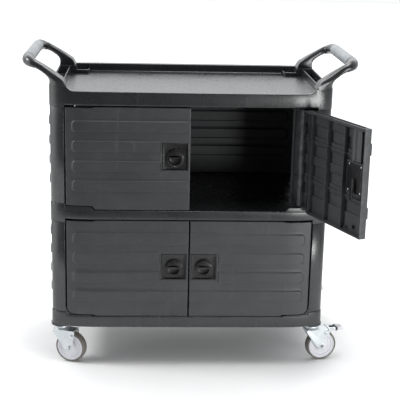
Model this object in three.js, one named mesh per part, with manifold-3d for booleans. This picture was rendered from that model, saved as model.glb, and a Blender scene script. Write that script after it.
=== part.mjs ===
// Housekeeping cart: a three-shelf moulded service cart with two door cabinets.
// Millimetres, +Z up, +X to the right and +Y to the back of the cart.
// The origin is on the floor, under the centre of the shelves.
import * as THREE from 'three';
import { mergeVertices } from 'three/addons/utils/BufferGeometryUtils.js';
import Module from 'manifold-3d';

const wasm = await Module();
wasm.setup();

// ---- Driving dimensions ----------------------------------------------------
const GAP = 0.3; // clearance between pieces that rest on or fit into each other
const BITE = 1; // how far a cutting or joining solid runs past a face

// Plan of the shelves: a rectangle whose corners are quarter ellipses.
const HALF_LENGTH = 431;
const HALF_DEPTH = 268;
const CORNER_RUN = 130;
const CORNER_DROP = 45;
const SHELL = 4; // wall of the moulded shelves and posts
const DECK_THICKNESS = 8;

// Heights of the three shelves: outer band, deck surface and corner collar.
const BOTTOM = { low: 131, high: 168, deck: 164, collarLow: 131, collarHigh: 178 };
const MIDDLE = { low: 485, high: 515, deck: 511, collarLow: 473, collarHigh: 532.5 };
const TOP = { low: 840, high: 883, deck: 870, collarLow: 834, collarHigh: 896 };
const FRONT_RIM = 14; // width of the rolled rim round the top deck
const END_RIM = 38;
const CHANNEL = { inner: 397, outer: 426, half: 190, floor: 866 }; // open channel at each end of the deck
const BACK_RIM = 24;
const TRAY_WALL = 6; // how far the low lip of the middle shelf stands outside its deck
const REAR_BLOCK_X = 366; // corner blocks behind the deck that carry the rear handle arms
const REAR_BLOCK_Y = 182;
const LIP = { x: 330, wall: 4, high: 882.5 }; // low wall round the small tray beside each corner block
const SCOOP_START = 350; // where the top front rim begins to sweep up to the handle
const SCOOP_END = 385;
const SCOOP_TOP = 919;

// Corner posts, hollow, sleeved over spigots on the shelf corners.
const POST_X = 384;
const POST_Y = 188;
const POST_STEP = 1.5; // posts stand back this far from the shelf collars
const SPIGOT = 20;

// Doors, panels and their raised horizontal ribs.
const PANEL_INSET = 2;
const PANEL_SKIN = 3.5;
const RIB_HEIGHT = 34;
const RIB_PROUD = 4;
const RIB_PITCH = 62;
const RIB_END = 361; // |X| of the rounded rib end at the hinge side
const DOOR_FREE = 2;
const DOOR_HINGE = 381.5;
const DOOR_DEPTH = 22;
const UPPER_DOOR = { low: 517, high: 837, cutLow: 529, cutHigh: 834, corner: 4, ribs: 591.5, lock: 686 };
const LOWER_DOOR = { low: 170, high: 483, cutLow: 173, cutHigh: 480, corner: 26, ribs: 237, lock: 333 };
const CUTAWAY = 300; // beyond this |X| the hinge side of a door is cut shorter
const CUTAWAY_SLOPE = 8; // length of the slope that leads to the cutaway
const DOOR_BARS = [112, 202, 292]; // |X| of the stiffening bars inside a door
const BAR_THICKNESS = 3;
const BAR_DEPTH = 16;

// Hinges
const PIVOT_X = 340;
const PIVOT_Y = -246;
const PIN_RADIUS = 4;
const PIN_SOCKET = 13; // depth of the blind holes that hold the pin ends
const KNUCKLE_RADIUS = 7.5;
const KNUCKLE_LENGTH = 38;
const KNUCKLE_WEB = 10; // width of the web that joins a knuckle to the door's skin
const HINGE_BOSS = 10; // radius of the bosses round the pin holes
const PAD_CLEARANCE = 2; // the pads stop this far below the door's cutaway
const PAD_START = 305; // |X| where the pads begin, clear of the swinging door
const PAD_DEPTH = 34; // the pads under the hinge ends run this far inwards
const OPEN_ANGLE = 113; // degrees: the upper right door stands open this far

// Latches
const LOCK = { near: 6, far: 88, height: 86, knobX: 47, knobDrop: 5, bezel: 27, knob: 23 };
const LOCK_BACK = -247;
const LOCK_FLOOR = -257;
const LOCK_WALL = 3;
const SPINDLE_RADIUS = 6;
const KNOB_FLOOR = 2; // thickness of the housing behind the knob
const CAM = { reach: 58, width: 12, thickness: 2.5, leftY: -243.2, rightY: -239.7 };

// Handles
const ARM_Y = 213;
const ARM_WIDTH = 34;
const GRIP = { x: 498, z: 966, radius: 18, core: 11, half: 150 };
const ARM_BEND = { x: 446, z: 945.5, radius: 16.5 }; // where the arm becomes a tube that bends into the grip
const PEG = { x: 408, half: 9, depth: 20 }; // square pegs that plug each arm into the top shelf

// Casters
const CASTER_X = 404;
const CASTER_Y = 211;
const STEM = { radius: 7.5, hole: 8, length: 34, holeDepth: 36 };
const KING_PIN = { radius: 5, head: 9, headDepth: 6 };
const WHEEL = { radius: 50, width: 28, hub: 43, trail: 35 };
const AXLE = { radius: 4, head: 8, headDepth: 5 };
const FORK = { top: 108, plate: 3, inside: 17.5, race: 23, raceHeight: 6 };
const LEG = { rear: -19, front: 53, tip: 12 }; // reach of the fork's legs, and the radius of their tips
const BRAKE = { x: 46, z: 93, ear: 20.8, plate: 2.2, stud: 3 };

// ---- Materials --------------------------------------------------------------
const finishes = {
  shell: [0x2b2d2f, 0.38, 0],
  door: [0x444648, 0.55, 0],
  lock: [0x121314, 0.35, 0],
  grip: [0xa9abad, 0.6, 0],
  zinc: [0xb8bcc4, 0.35, 0.9],
  steel: [0x8d9094, 0.3, 1],
  tyre: [0x7a756f, 0.8, 0],
  hub: [0xb9b9c6, 0.5, 0],
};

// ---- Solid helpers ----------------------------------------------------------
function solid(geometry) {
  geometry.deleteAttribute('normal');
  geometry.deleteAttribute('uv');
  const merged = mergeVertices(geometry, 1e-4);
  const vertProperties = new Float32Array(merged.attributes.position.array);
  const triVerts = new Uint32Array(merged.index.array);
  return new wasm.Manifold(new wasm.Mesh({ numProp: 3, vertProperties, triVerts }));
}

function geometryOf(body) {
  const mesh = body.getMesh();
  const geometry = new THREE.BufferGeometry();
  geometry.setAttribute('position', new THREE.BufferAttribute(mesh.vertProperties, 3));
  geometry.setIndex(new THREE.BufferAttribute(mesh.triVerts, 1));
  return geometry;
}

function join(...bodies) {
  return bodies.reduce((whole, body) => whole.add(body));
}

function cut(body, ...tools) {
  return tools.reduce((rest, tool) => rest.subtract(tool), body);
}

function block(x0, x1, y0, y1, z0, z1) {
  const size = [Math.abs(x1 - x0), Math.abs(y1 - y0), Math.abs(z1 - z0)];
  return solid(new THREE.BoxGeometry(...size).translate((x0 + x1) / 2, (y0 + y1) / 2, (z0 + z1) / 2));
}

// A plan shape raised from z0 to z1.
function raise(shape, z0, z1, curveSegments = 3) {
  const geometry = new THREE.ExtrudeGeometry(shape, { depth: z1 - z0, bevelEnabled: false, curveSegments });
  return solid(geometry.translate(0, 0, z0));
}

// A front-view (X, Z) shape run from y0 to y1.
function runY(shape, y0, y1, curveSegments = 4) {
  const geometry = new THREE.ExtrudeGeometry(shape, { depth: y1 - y0, bevelEnabled: false, curveSegments });
  return solid(geometry.rotateX(Math.PI / 2).translate(0, y1, 0));
}

// A side-view (Y, Z) shape run from x0 to x1.
function runX(shape, x0, x1, curveSegments = 4) {
  const geometry = new THREE.ExtrudeGeometry(shape, { depth: x1 - x0, bevelEnabled: false, curveSegments });
  return solid(geometry.rotateX(Math.PI / 2).rotateZ(Math.PI / 2).translate(x0, 0, 0));
}

function rodZ(x, y, radius, z0, z1, sides = 12) {
  const geometry = new THREE.CylinderGeometry(radius, radius, z1 - z0, sides);
  return solid(geometry.rotateX(Math.PI / 2).translate(x, y, (z0 + z1) / 2));
}

function rodY(x, z, radius, y0, y1, sides = 20) {
  return solid(new THREE.CylinderGeometry(radius, radius, y1 - y0, sides).translate(x, (y0 + y1) / 2, z));
}

// A (radius, height) profile turned about the Z axis.
function turned(profile, sides) {
  const points = profile.map(([radius, height]) => new THREE.Vector2(radius, height));
  return solid(new THREE.LatheGeometry(points, sides).rotateX(Math.PI / 2));
}

function part(name, body, finish) {
  const [color, roughness, metalness] = finishes[finish];
  const material = new THREE.MeshStandardMaterial({ color, roughness, metalness });
  const mesh = new THREE.Mesh(geometryOf(body), material);
  mesh.name = name;
  return mesh;
}

// ---- Shared outlines --------------------------------------------------------
// The shelf outline, moved inwards by inset.
function shelfPlan(inset) {
  const x = HALF_LENGTH - CORNER_RUN;
  const y = HALF_DEPTH - CORNER_DROP;
  const run = CORNER_RUN - inset;
  const drop = CORNER_DROP - inset;
  const shape = new THREE.Shape();
  shape.absellipse(x, y, run, drop, 0, Math.PI / 2);
  shape.absellipse(-x, y, run, drop, Math.PI / 2, Math.PI);
  shape.absellipse(-x, -y, run, drop, Math.PI, 1.5 * Math.PI);
  shape.absellipse(x, -y, run, drop, 1.5 * Math.PI, 2 * Math.PI);
  return shape;
}

// How far from the middle plane the front or back face lies at distance x from the centre.
function faceDepth(x, inset) {
  const beyond = Math.max(0, x - (HALF_LENGTH - CORNER_RUN)) / (CORNER_RUN - inset);
  const drop = CORNER_DROP - inset;
  return HALF_DEPTH - CORNER_DROP + drop * Math.sqrt(1 - beyond * beyond);
}

// A strip that follows the curved face between x0 and x1, from outer to inner inset.
// Side is 1 or -1 for the right or left half, face is -1 for the front and 1 for the back.
function facePlan(side, face, x0, x1, outer, inner) {
  const steps = 3;
  const bend = Math.max(x0, HALF_LENGTH - CORNER_RUN); // where the face begins to curve
  const stations = x0 < bend ? [x0] : [];
  for (let i = 0; i <= steps; i += 1) stations.push(bend + ((x1 - bend) * i) / steps);
  const edge = (inset) => stations.map((x) => new THREE.Vector2(side * x, face * faceDepth(x, inset)));
  return new THREE.Shape([...edge(outer), ...edge(inner).reverse()]);
}

// The whole back face from side to side.
function backPlan(outer, inner) {
  const right = facePlan(1, 1, 0, POST_X - GAP, outer, inner);
  const left = facePlan(-1, 1, 0, POST_X - GAP, outer, inner);
  return [right, left];
}

// A band with a rounded end at x1 (its outer end) and a square one at x0.
function ribShape(side, x0, x1, z) {
  const r = RIB_HEIGHT / 2;
  const shape = new THREE.Shape();
  shape.moveTo(side * x0, z - r);
  shape.lineTo(side * (x1 - r), z - r);
  shape.absarc(side * (x1 - r), z, r, -Math.PI / 2, Math.PI / 2, side < 0);
  shape.lineTo(side * x0, z + r);
  return shape;
}

function ribLevels(door) {
  return [0, 1, 2, 3].map((i) => door.ribs + RIB_PITCH * i);
}

// ---- Shelves ----------------------------------------------------------------
// The four corner blocks of the plan, moved inwards by inset.
function corners(inset, z0, z1) {
  const plan = raise(shelfPlan(inset), z0, z1);
  const cross = join(
    block(-POST_X - inset, POST_X + inset, -HALF_DEPTH - BITE, HALF_DEPTH + BITE, z0 - BITE, z1 + BITE),
    block(-HALF_LENGTH - BITE, HALF_LENGTH + BITE, -POST_Y - inset, POST_Y + inset, z0 - BITE, z1 + BITE),
  );
  return plan.subtract(cross);
}

function hingeBosses(z0, z1) {
  return [-1, 1].map((side) => rodZ(side * PIVOT_X, PIVOT_Y, HINGE_BOSS, z0, z1));
}

function hingeHoles(z0, z1) {
  return [-1, 1].map((side) => rodZ(side * PIVOT_X, PIVOT_Y, PIN_RADIUS + GAP, z0, z1, 12));
}

// Band, deck and corner collars that every shelf shares.
function shelfCore(level) {
  const band = raise(shelfPlan(0), level.low, level.high);
  const under = raise(shelfPlan(SHELL), level.low - BITE, level.deck - DECK_THICKNESS);
  const collars = corners(0, level.collarLow, level.collarHigh);
  return join(cut(band, under), collars);
}

function spigots(z0, z1) {
  return corners(POST_STEP + SHELL + GAP, z0, z1);
}

function topShelf() {
  const halfX = HALF_LENGTH - END_RIM;
  const frontWall = -HALF_DEPTH + FRONT_RIM;
  const backWall = HALF_DEPTH - BACK_RIM;
  const over = TOP.collarHigh + BITE;
  const tray = block(-halfX, halfX, frontWall, backWall, TOP.deck, over);
  const floor = TOP.deck - BITE;
  const rearBlocks = [-1, 1].flatMap((side) => [
    block(side * REAR_BLOCK_X, side * HALF_LENGTH, REAR_BLOCK_Y, HALF_DEPTH, floor, over + BITE),
    block(side * LIP.x, side * HALF_LENGTH, REAR_BLOCK_Y, REAR_BLOCK_Y + LIP.wall, floor, LIP.high),
    block(side * LIP.x, side * (LIP.x + LIP.wall), REAR_BLOCK_Y, HALF_DEPTH, floor, LIP.high),
  ]);
  const channels = [-1, 1].map((side) => block(
    side * CHANNEL.inner, side * CHANNEL.outer, -CHANNEL.half, REAR_BLOCK_Y, CHANNEL.floor, over,
  ));
  const ring = cut(raise(shelfPlan(0), TOP.high - BITE, TOP.collarHigh), scoopedFront());
  const pegs = handlePegs(GAP, over);
  const core = join(
    shelfCore(TOP),
    ring,
    ...hingeBosses(TOP.low, TOP.deck - DECK_THICKNESS / 2),
    spigots(TOP.collarLow - SPIGOT, TOP.collarLow + BITE),
  );
  const pockets = hingeHoles(TOP.low - BITE, TOP.low + PIN_SOCKET);
  return cut(core, cut(tray, ...rearBlocks), ...channels, ...pegs, ...pockets);
}

// The space above the low front rim: its ends sweep up to the handle arms.
function scoopedFront() {
  const shape = new THREE.Shape();
  shape.moveTo(-SCOOP_START, TOP.high);
  shape.lineTo(SCOOP_START, TOP.high);
  shape.quadraticCurveTo(SCOOP_END, TOP.high, SCOOP_END, SCOOP_TOP);
  shape.lineTo(-SCOOP_END, SCOOP_TOP);
  shape.quadraticCurveTo(-SCOOP_END, TOP.high, -SCOOP_START, TOP.high);
  return runY(shape, -HALF_DEPTH - BITE, -HALF_DEPTH + FRONT_RIM + BITE, 8);
}

// Raised pads beside the front posts: they carry the hinge pins.
function hingePads(z0, z1) {
  return [-1, 1].map((side) => (
    raise(facePlan(side, -1, PAD_START, POST_X + BITE, PANEL_INSET, PANEL_INSET + PAD_DEPTH), z0, z1)
  ));
}

// The space inside the low lip of a shelf, clear of its corners and hinge pads.
function shallowTray(level, pads) {
  return raise(shelfPlan(TRAY_WALL), level.deck, level.high + BITE)
    .subtract(corners(-BITE, level.deck - BITE, level.high + 2 * BITE))
    .subtract(join(...pads));
}

function middleShelf() {
  const padTop = UPPER_DOOR.cutLow - PAD_CLEARANCE;
  const pads = hingePads(MIDDLE.deck - BITE, padTop);
  const core = join(
    shelfCore(MIDDLE),
    ...pads,
    ...hingeBosses(MIDDLE.low, MIDDLE.deck - BITE),
    spigots(MIDDLE.collarHigh - BITE, MIDDLE.collarHigh + SPIGOT),
    spigots(MIDDLE.collarLow - SPIGOT, MIDDLE.collarLow + BITE),
  );
  const upperHoles = hingeHoles(padTop - PIN_SOCKET, padTop + BITE);
  const lowerHoles = hingeHoles(MIDDLE.low - BITE, MIDDLE.low + PIN_SOCKET);
  return cut(core, shallowTray(MIDDLE, pads), ...upperHoles, ...lowerHoles);
}

function bottomShelf() {
  const stemTop = BOTTOM.low + STEM.holeDepth;
  const stems = casterPlaces().map(([x, y]) => rodZ(x, y, STEM.hole, BOTTOM.low - BITE, stemTop));
  const padTop = LOWER_DOOR.cutLow - PAD_CLEARANCE;
  const pads = hingePads(BOTTOM.deck - BITE, padTop);
  const core = join(
    shelfCore(BOTTOM),
    ...pads,
    ...hingeBosses(BOTTOM.low + 8, BOTTOM.deck - BITE),
    spigots(BOTTOM.collarHigh - BITE, BOTTOM.collarHigh + SPIGOT),
  );
  return cut(core, shallowTray(BOTTOM, pads), ...stems, ...hingeHoles(padTop - PIN_SOCKET, padTop + BITE));
}

// ---- Posts, panels ----------------------------------------------------------
function post(xSide, ySide, z0, z1) {
  const ring = cut(
    corners(POST_STEP, z0, z1),
    corners(POST_STEP + SHELL, z0 - BITE, z1 + BITE),
  );
  const far = HALF_LENGTH + BITE;
  const quarter = block(0, xSide * far, 0, ySide * far, z0 - BITE, z1 + BITE);
  return ring.intersect(quarter);
}

function sidePanel(side, z0, z1, door) {
  const face = side * (HALF_LENGTH - PANEL_INSET);
  const back = side * (HALF_LENGTH - PANEL_INSET - PANEL_SKIN - 2);
  const half = POST_Y - GAP;
  const sheet = block(back, face, -half, half, z0, z1);
  const ribs = ribLevels(door).map((z) => {
    const r = RIB_HEIGHT / 2;
    const shape = new THREE.Shape();
    shape.moveTo(-half + 12 + r, z - r);
    shape.absarc(half - 12 - r, z, r, -Math.PI / 2, Math.PI / 2, false);
    shape.absarc(-half + 12 + r, z, r, Math.PI / 2, 1.5 * Math.PI, false);
    const outer = side * (HALF_LENGTH - PANEL_INSET + RIB_PROUD * 2);
    return runX(shape, Math.min(back, outer), Math.max(back, outer), 3);
  });
  return join(sheet, ...ribs);
}

function backPanel(z0, z1, door) {
  const sheets = backPlan(PANEL_INSET + RIB_PROUD, PANEL_INSET + RIB_PROUD + PANEL_SKIN);
  const slabs = backPlan(PANEL_INSET, PANEL_INSET + RIB_PROUD + BITE);
  const ribs = ribLevels(door).flatMap((z) => [-1, 1].map((side) => {
    const slab = raise(slabs[side > 0 ? 0 : 1], z - RIB_HEIGHT, z + RIB_HEIGHT);
    return slab.intersect(runY(ribShape(side, -BITE, RIB_END, z), 0, HALF_DEPTH + BITE));
  }));
  return join(...sheets.map((plan) => raise(plan, z0, z1)), ...ribs);
}

// ---- Doors ------------------------------------------------------------------
// Front view of a door, moved inwards by inset: the hinge end is cut shorter.
function doorShape(side, door, inset) {
  const low = door.low + inset;
  const high = door.high - inset;
  const cutLow = door.cutLow + inset;
  const cutHigh = door.cutHigh - inset;
  const free = DOOR_FREE + inset;
  const hinge = DOOR_HINGE - inset;
  const slopeStart = CUTAWAY - CUTAWAY_SLOPE;
  const shape = new THREE.Shape();
  shape.moveTo(side * free, low);
  shape.lineTo(side * slopeStart, low);
  shape.lineTo(side * CUTAWAY, cutLow);
  shape.lineTo(side * (hinge - door.corner), cutLow);
  shape.quadraticCurveTo(side * hinge, cutLow, side * hinge, cutLow + door.corner);
  shape.lineTo(side * hinge, cutHigh);
  shape.lineTo(side * CUTAWAY, cutHigh);
  shape.lineTo(side * slopeStart, high);
  shape.lineTo(side * free, high);
  return shape;
}

function doorPanel(side, door) {
  const strip = (outer, inner) => (
    raise(facePlan(side, -1, DOOR_FREE, DOOR_HINGE, outer, inner), door.low - BITE, door.high + BITE)
  );
  const through = (shape) => runY(shape, -HALF_DEPTH - 10, 0);
  const outline = through(doorShape(side, door, 0));
  const skin = strip(PANEL_INSET, PANEL_INSET + PANEL_SKIN).intersect(outline);
  const rim = strip(PANEL_INSET + BITE, PANEL_INSET + DOOR_DEPTH)
    .intersect(outline.subtract(through(doorShape(side, door, PANEL_SKIN))));
  const raised = strip(PANEL_INSET - RIB_PROUD, PANEL_INSET + BITE);
  const ribs = ribLevels(door).map((z) => (
    raised.intersect(through(ribShape(side, DOOR_FREE + 4, RIB_END, z)))
  ));
  const inner = strip(PANEL_INSET + BITE, PANEL_INSET + BAR_DEPTH).intersect(outline);
  const bars = DOOR_BARS.map((x) => (
    inner.intersect(block(side * x, side * (x + BAR_THICKNESS), -HALF_DEPTH, 0, door.low, door.high))
  ));
  const skinBack = -HALF_DEPTH + PANEL_INSET + PANEL_SKIN;
  const web = KNUCKLE_WEB / 2;
  const knuckles = [door.cutLow, door.cutHigh - KNUCKLE_LENGTH].map((z) => join(
    rodZ(side * PIVOT_X, PIVOT_Y, KNUCKLE_RADIUS, z, z + KNUCKLE_LENGTH),
    block(side * (PIVOT_X - web), side * (PIVOT_X + web), skinBack, PIVOT_Y, z, z + KNUCKLE_LENGTH),
  ));
  const half = LOCK.height / 2 + GAP;
  const lockNear = side * (LOCK.near - GAP);
  const lockFar = side * (LOCK.far + GAP);
  const front = -HALF_DEPTH - 10;
  const window = block(lockNear, lockFar, front, 0, door.lock - half, door.lock + half);
  // The ribs stop short of the lock on all sides.
  const clear = block(
    lockNear, side * (LOCK.far + 10), front, -HALF_DEPTH + PANEL_INSET,
    door.lock - half - RIB_PROUD, door.lock + half + RIB_PROUD,
  );
  const pinHole = rodZ(side * PIVOT_X, PIVOT_Y, PIN_RADIUS + GAP, door.low - BITE, door.high + BITE, 12);
  return cut(join(skin, rim, ...ribs, ...bars, ...knuckles), window, clear, pinHole);
}

function hingePin(side, level) {
  const low = level.door.cutLow - PAD_CLEARANCE - PIN_SOCKET + GAP;
  const high = level.above.low + PIN_SOCKET - BITE;
  return rodZ(side * PIVOT_X, PIVOT_Y, PIN_RADIUS, low, high);
}

// ---- Latches ----------------------------------------------------------------
function latchHousing(side, door) {
  const half = LOCK.height / 2;
  const face = -HALF_DEPTH + PANEL_INSET - 0.5;
  const knobZ = door.lock - LOCK.knobDrop;
  const knobX = side * LOCK.knobX;
  const body = block(side * LOCK.near, side * LOCK.far, face, LOCK_BACK, door.lock - half, door.lock + half);
  const pan = block(
    side * (LOCK.near + LOCK_WALL), side * (LOCK.far - LOCK_WALL), face - BITE, LOCK_FLOOR,
    door.lock - half + LOCK_WALL, door.lock + half - LOCK_WALL,
  );
  return cut(
    join(cut(body, pan), rodY(knobX, knobZ, LOCK.bezel, face + 1, LOCK_BACK - BITE, 24)),
    rodY(knobX, knobZ, LOCK.knob + GAP, face - BITE, LOCK_BACK - KNOB_FLOOR, 24),
    rodY(knobX, knobZ, SPINDLE_RADIUS + GAP, LOCK_BACK - KNOB_FLOOR - BITE, LOCK_BACK + BITE, 12),
  );
}

function latchKnob(side, door) {
  const x = side * LOCK.knobX;
  const z = door.lock - LOCK.knobDrop;
  const face = -HALF_DEPTH + PANEL_INSET + 1;
  const floor = LOCK_BACK - KNOB_FLOOR - GAP;
  const camY = side < 0 ? CAM.leftY : CAM.rightY;
  const cup = new THREE.Shape();
  cup.absarc(x, z - 1, LOCK.knob - 4, Math.PI, 2 * Math.PI, false);
  return join(
    cut(rodY(x, z, LOCK.knob, face, floor, 24), runY(cup, face - BITE, LOCK_BACK - 5, 6)),
    rodY(x, z, SPINDLE_RADIUS, floor - BITE, camY + BITE, 12),
    block(x - CAM.width / 2, x + CAM.width / 2, camY, camY + CAM.thickness, z - CAM.reach, z + CAM.width / 2),
  );
}

// ---- Handles ----------------------------------------------------------------
function handlePegs(clearance, top) {
  const half = PEG.half + clearance;
  return [-1, 1].flatMap((side) => [-1, 1].map((end) => block(
    side * PEG.x - half, side * PEG.x + half, end * ARM_Y - half, end * ARM_Y + half,
    TOP.collarHigh - PEG.depth - clearance, top,
  )));
}

// Side view of the lower part of an arm: it rises off the corner and leans outwards.
function armShape(side) {
  const base = TOP.collarHigh + GAP;
  const at = (x, z) => [side * x, z];
  const shape = new THREE.Shape();
  shape.moveTo(...at(386, base));
  shape.lineTo(...at(HALF_LENGTH, base));
  shape.bezierCurveTo(...at(433, 920), ...at(436, 933), ...at(458, 940));
  shape.lineTo(...at(467, 944));
  shape.lineTo(...at(460, 964));
  shape.lineTo(...at(438, 953.5));
  shape.lineTo(...at(SCOOP_END + 9, 922));
  shape.quadraticCurveTo(...at(386, 918), ...at(386, 908));
  return shape;
}

// The upper part of an arm: a tube that bends round into the grip's axis.
function armTube(side, end) {
  const start = new THREE.Vector3(side * ARM_BEND.x, end * ARM_Y, ARM_BEND.z);
  const corner = new THREE.Vector3(side * GRIP.x, end * ARM_Y, GRIP.z);
  const finish = new THREE.Vector3(side * GRIP.x, end * GRIP.half, GRIP.z);
  const section = new THREE.Shape().absarc(0, 0, ARM_BEND.radius, 0, 2 * Math.PI, false);
  const extrudePath = new THREE.QuadraticBezierCurve3(start, corner, finish);
  return solid(new THREE.ExtrudeGeometry(section, { extrudePath, steps: 7, curveSegments: 6 }));
}

function handle(side) {
  const half = ARM_WIDTH / 2;
  const arms = [-1, 1].flatMap((end) => [
    runY(armShape(side), end * ARM_Y - half, end * ARM_Y + half, 5),
    armTube(side, end),
  ]);
  const pegs = handlePegs(0, TOP.collarHigh + 4).filter((_, i) => (side < 0 ? i < 2 : i > 1));
  const core = rodY(side * GRIP.x, GRIP.z, GRIP.core, -GRIP.half - BITE, GRIP.half + BITE, 12);
  return join(...arms, ...pegs, core);
}

function grip(side) {
  const half = GRIP.half - GAP;
  return cut(
    rodY(side * GRIP.x, GRIP.z, GRIP.radius, -half, half),
    rodY(side * GRIP.x, GRIP.z, GRIP.core + 2 * GAP, -half - BITE, half + BITE, 12),
  );
}

// ---- Casters ----------------------------------------------------------------
// Each caster is made with its swivel axis on Z and its wheel trailing along +X.
function casterPlaces() {
  return [[-CASTER_X, -CASTER_Y], [CASTER_X, -CASTER_Y], [-CASTER_X, CASTER_Y], [CASTER_X, CASTER_Y]];
}

// Stem, upper race and king pin in one turned piece.
function casterStem() {
  const seat = BOTTOM.low - GAP;
  const under = FORK.top - KING_PIN.headDepth;
  const headTop = FORK.top - FORK.plate - GAP;
  const raceLow = FORK.top + FORK.raceHeight + GAP;
  const rim = FORK.race + 3;
  return turned([
    [0, under], [KING_PIN.head, under], [KING_PIN.head, headTop], [KING_PIN.radius, headTop],
    [KING_PIN.radius, raceLow], [FORK.race, raceLow], [rim, seat - 5], [rim, seat],
    [STEM.radius, seat], [STEM.radius, seat + STEM.length], [0, seat + STEM.length],
  ], 16);
}

function casterFork() {
  const top = FORK.top;
  const bore = KING_PIN.radius + GAP;
  const crown = turned([
    [bore, top - FORK.plate], [FORK.race, top - FORK.plate], [FORK.race + 3, top],
    [FORK.race, top + FORK.raceHeight], [bore, top + FORK.raceHeight], [bore, top - FORK.plate],
  ], 16);
  const leg = new THREE.Shape();
  leg.moveTo(LEG.rear, top);
  leg.lineTo(LEG.rear + 2, top - 14);
  leg.lineTo(WHEEL.trail - LEG.tip + 1, WHEEL.radius - 5);
  leg.absarc(WHEEL.trail, WHEEL.radius, LEG.tip, 1.15 * Math.PI, 2 * Math.PI, false);
  leg.lineTo(LEG.front, top - 26);
  leg.lineTo(LEG.front, top);
  const sheet = FORK.plate - 0.5;
  const legs = [-FORK.inside - sheet, FORK.inside].map((y) => runY(leg, y, y + sheet));
  const bridge = block(LEG.rear, LEG.front, -FORK.inside - BITE, FORK.inside + BITE, top - FORK.plate, top);
  const pinHole = rodZ(0, 0, bore, top - 10, top + 10, 16);
  const wheelRoom = rodY(WHEEL.trail, WHEEL.radius, WHEEL.radius + 2.5, -FORK.inside, FORK.inside, 24);
  const axleHole = rodY(WHEEL.trail, WHEEL.radius, AXLE.radius + GAP, -40, 40, 12);
  const brakeHole = rodY(BRAKE.x, BRAKE.z, BRAKE.stud + GAP, -40, 40, 12);
  return cut(join(crown, cut(bridge, wheelRoom), ...legs), pinHole, axleHole, brakeHole);
}

function casterAxle() {
  const reach = FORK.inside + FORK.plate + GAP;
  const x = WHEEL.trail;
  const z = WHEEL.radius;
  return join(
    rodY(x, z, AXLE.radius, -reach, reach, 12),
    rodY(x, z, AXLE.head, -reach - AXLE.headDepth, -reach, 6),
    rodY(x, z, AXLE.head, reach, reach + AXLE.headDepth, 6),
  );
}

// A turned profile laid on the wheel axis.
function wheelTurned(profile, sides) {
  const points = profile.map(([radius, y]) => new THREE.Vector2(radius, y));
  return solid(new THREE.LatheGeometry(points, sides).translate(WHEEL.trail, 0, WHEEL.radius));
}

function casterTyre() {
  const half = WHEEL.width / 2;
  const inner = WHEEL.hub + GAP;
  return wheelTurned([
    [inner, -half + 1], [WHEEL.radius - 5, -half], [WHEEL.radius - 1, -half + 5], [WHEEL.radius, 0],
    [WHEEL.radius - 1, half - 5], [WHEEL.radius - 5, half], [inner, half - 1], [inner, -half + 1],
  ], 28);
}

function casterHub() {
  const half = WHEEL.width / 2;
  const bore = AXLE.radius + GAP;
  const web = half - 5;
  const rim = WHEEL.hub - 7;
  return wheelTurned([
    [bore, -half - 1.5], [12, -half - 1.5], [14, -web], [rim, -web], [WHEEL.hub, -half + 2],
    [WHEEL.hub, half - 2], [rim, web], [14, web], [12, half + 1.5], [bore, half + 1.5],
    [bore, -half - 1.5],
  ], 20);
}

// Foot brake: a pressed pedal that rocks on two studs in the fork's legs.
function brakePedal() {
  const { x, z, ear, plate, stud } = BRAKE;
  const tread = new THREE.Shape();
  tread.moveTo(x + 8, 106);
  tread.lineTo(80, 106);
  tread.lineTo(98, 99);
  tread.quadraticCurveTo(109, 97, 108, 105);
  tread.lineTo(104, 112);
  tread.lineTo(x + 8, 112);
  const cheek = new THREE.Shape();
  cheek.moveTo(x + 40, 112);
  cheek.lineTo(x + 8, 112);
  cheek.absarc(x, z, 7, 0.75 * Math.PI, 1.75 * Math.PI, false);
  cheek.lineTo(x + 40, 104);
  const cheeks = [-1, 1].flatMap((side) => {
    const [low, high] = [side * ear, side * (ear + plate)].sort((a, b) => a - b);
    const [tip, root] = [side * (FORK.inside + GAP), side * (ear + BITE)].sort((a, b) => a - b);
    return [runY(cheek, low, high), rodY(x, z, stud, tip, root, 12)];
  });
  return join(runY(tread, -ear - plate, ear + plate), ...cheeks);
}

// ---- Assembly ---------------------------------------------------------------
const cart = new THREE.Group();
cart.add(part('top_shelf', topShelf(), 'shell'));
cart.add(part('middle_shelf', middleShelf(), 'shell'));
cart.add(part('bottom_shelf', bottomShelf(), 'shell'));

const levels = [
  { name: 'upper', door: UPPER_DOOR, below: MIDDLE, above: TOP },
  { name: 'lower', door: LOWER_DOOR, below: BOTTOM, above: MIDDLE },
];
const sides = [{ name: 'left', sign: -1 }, { name: 'right', sign: 1 }];
const ends = [{ name: 'front', sign: -1 }, { name: 'rear', sign: 1 }];

function addDoor(level, side) {
  const pivot = new THREE.Vector3(side.sign * PIVOT_X, PIVOT_Y, 0);
  const open = level.name === 'upper' && side.name === 'right' ? OPEN_ANGLE : 0;
  const swing = new THREE.Group();
  swing.position.copy(pivot);
  swing.rotation.z = THREE.MathUtils.degToRad(open);
  const label = `${level.name}_${side.name}`;
  const pieces = [
    part(`door_${label}`, doorPanel(side.sign, level.door), 'door'),
    part(`latch_housing_${label}`, latchHousing(side.sign, level.door), 'lock'),
    part(`latch_knob_${label}`, latchKnob(side.sign, level.door), 'lock'),
  ];
  for (const piece of pieces) {
    piece.position.copy(pivot).negate();
    swing.add(piece);
  }
  cart.add(swing);
  cart.add(part(`hinge_pin_${label}`, hingePin(side.sign, level), 'steel'));
}

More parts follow.
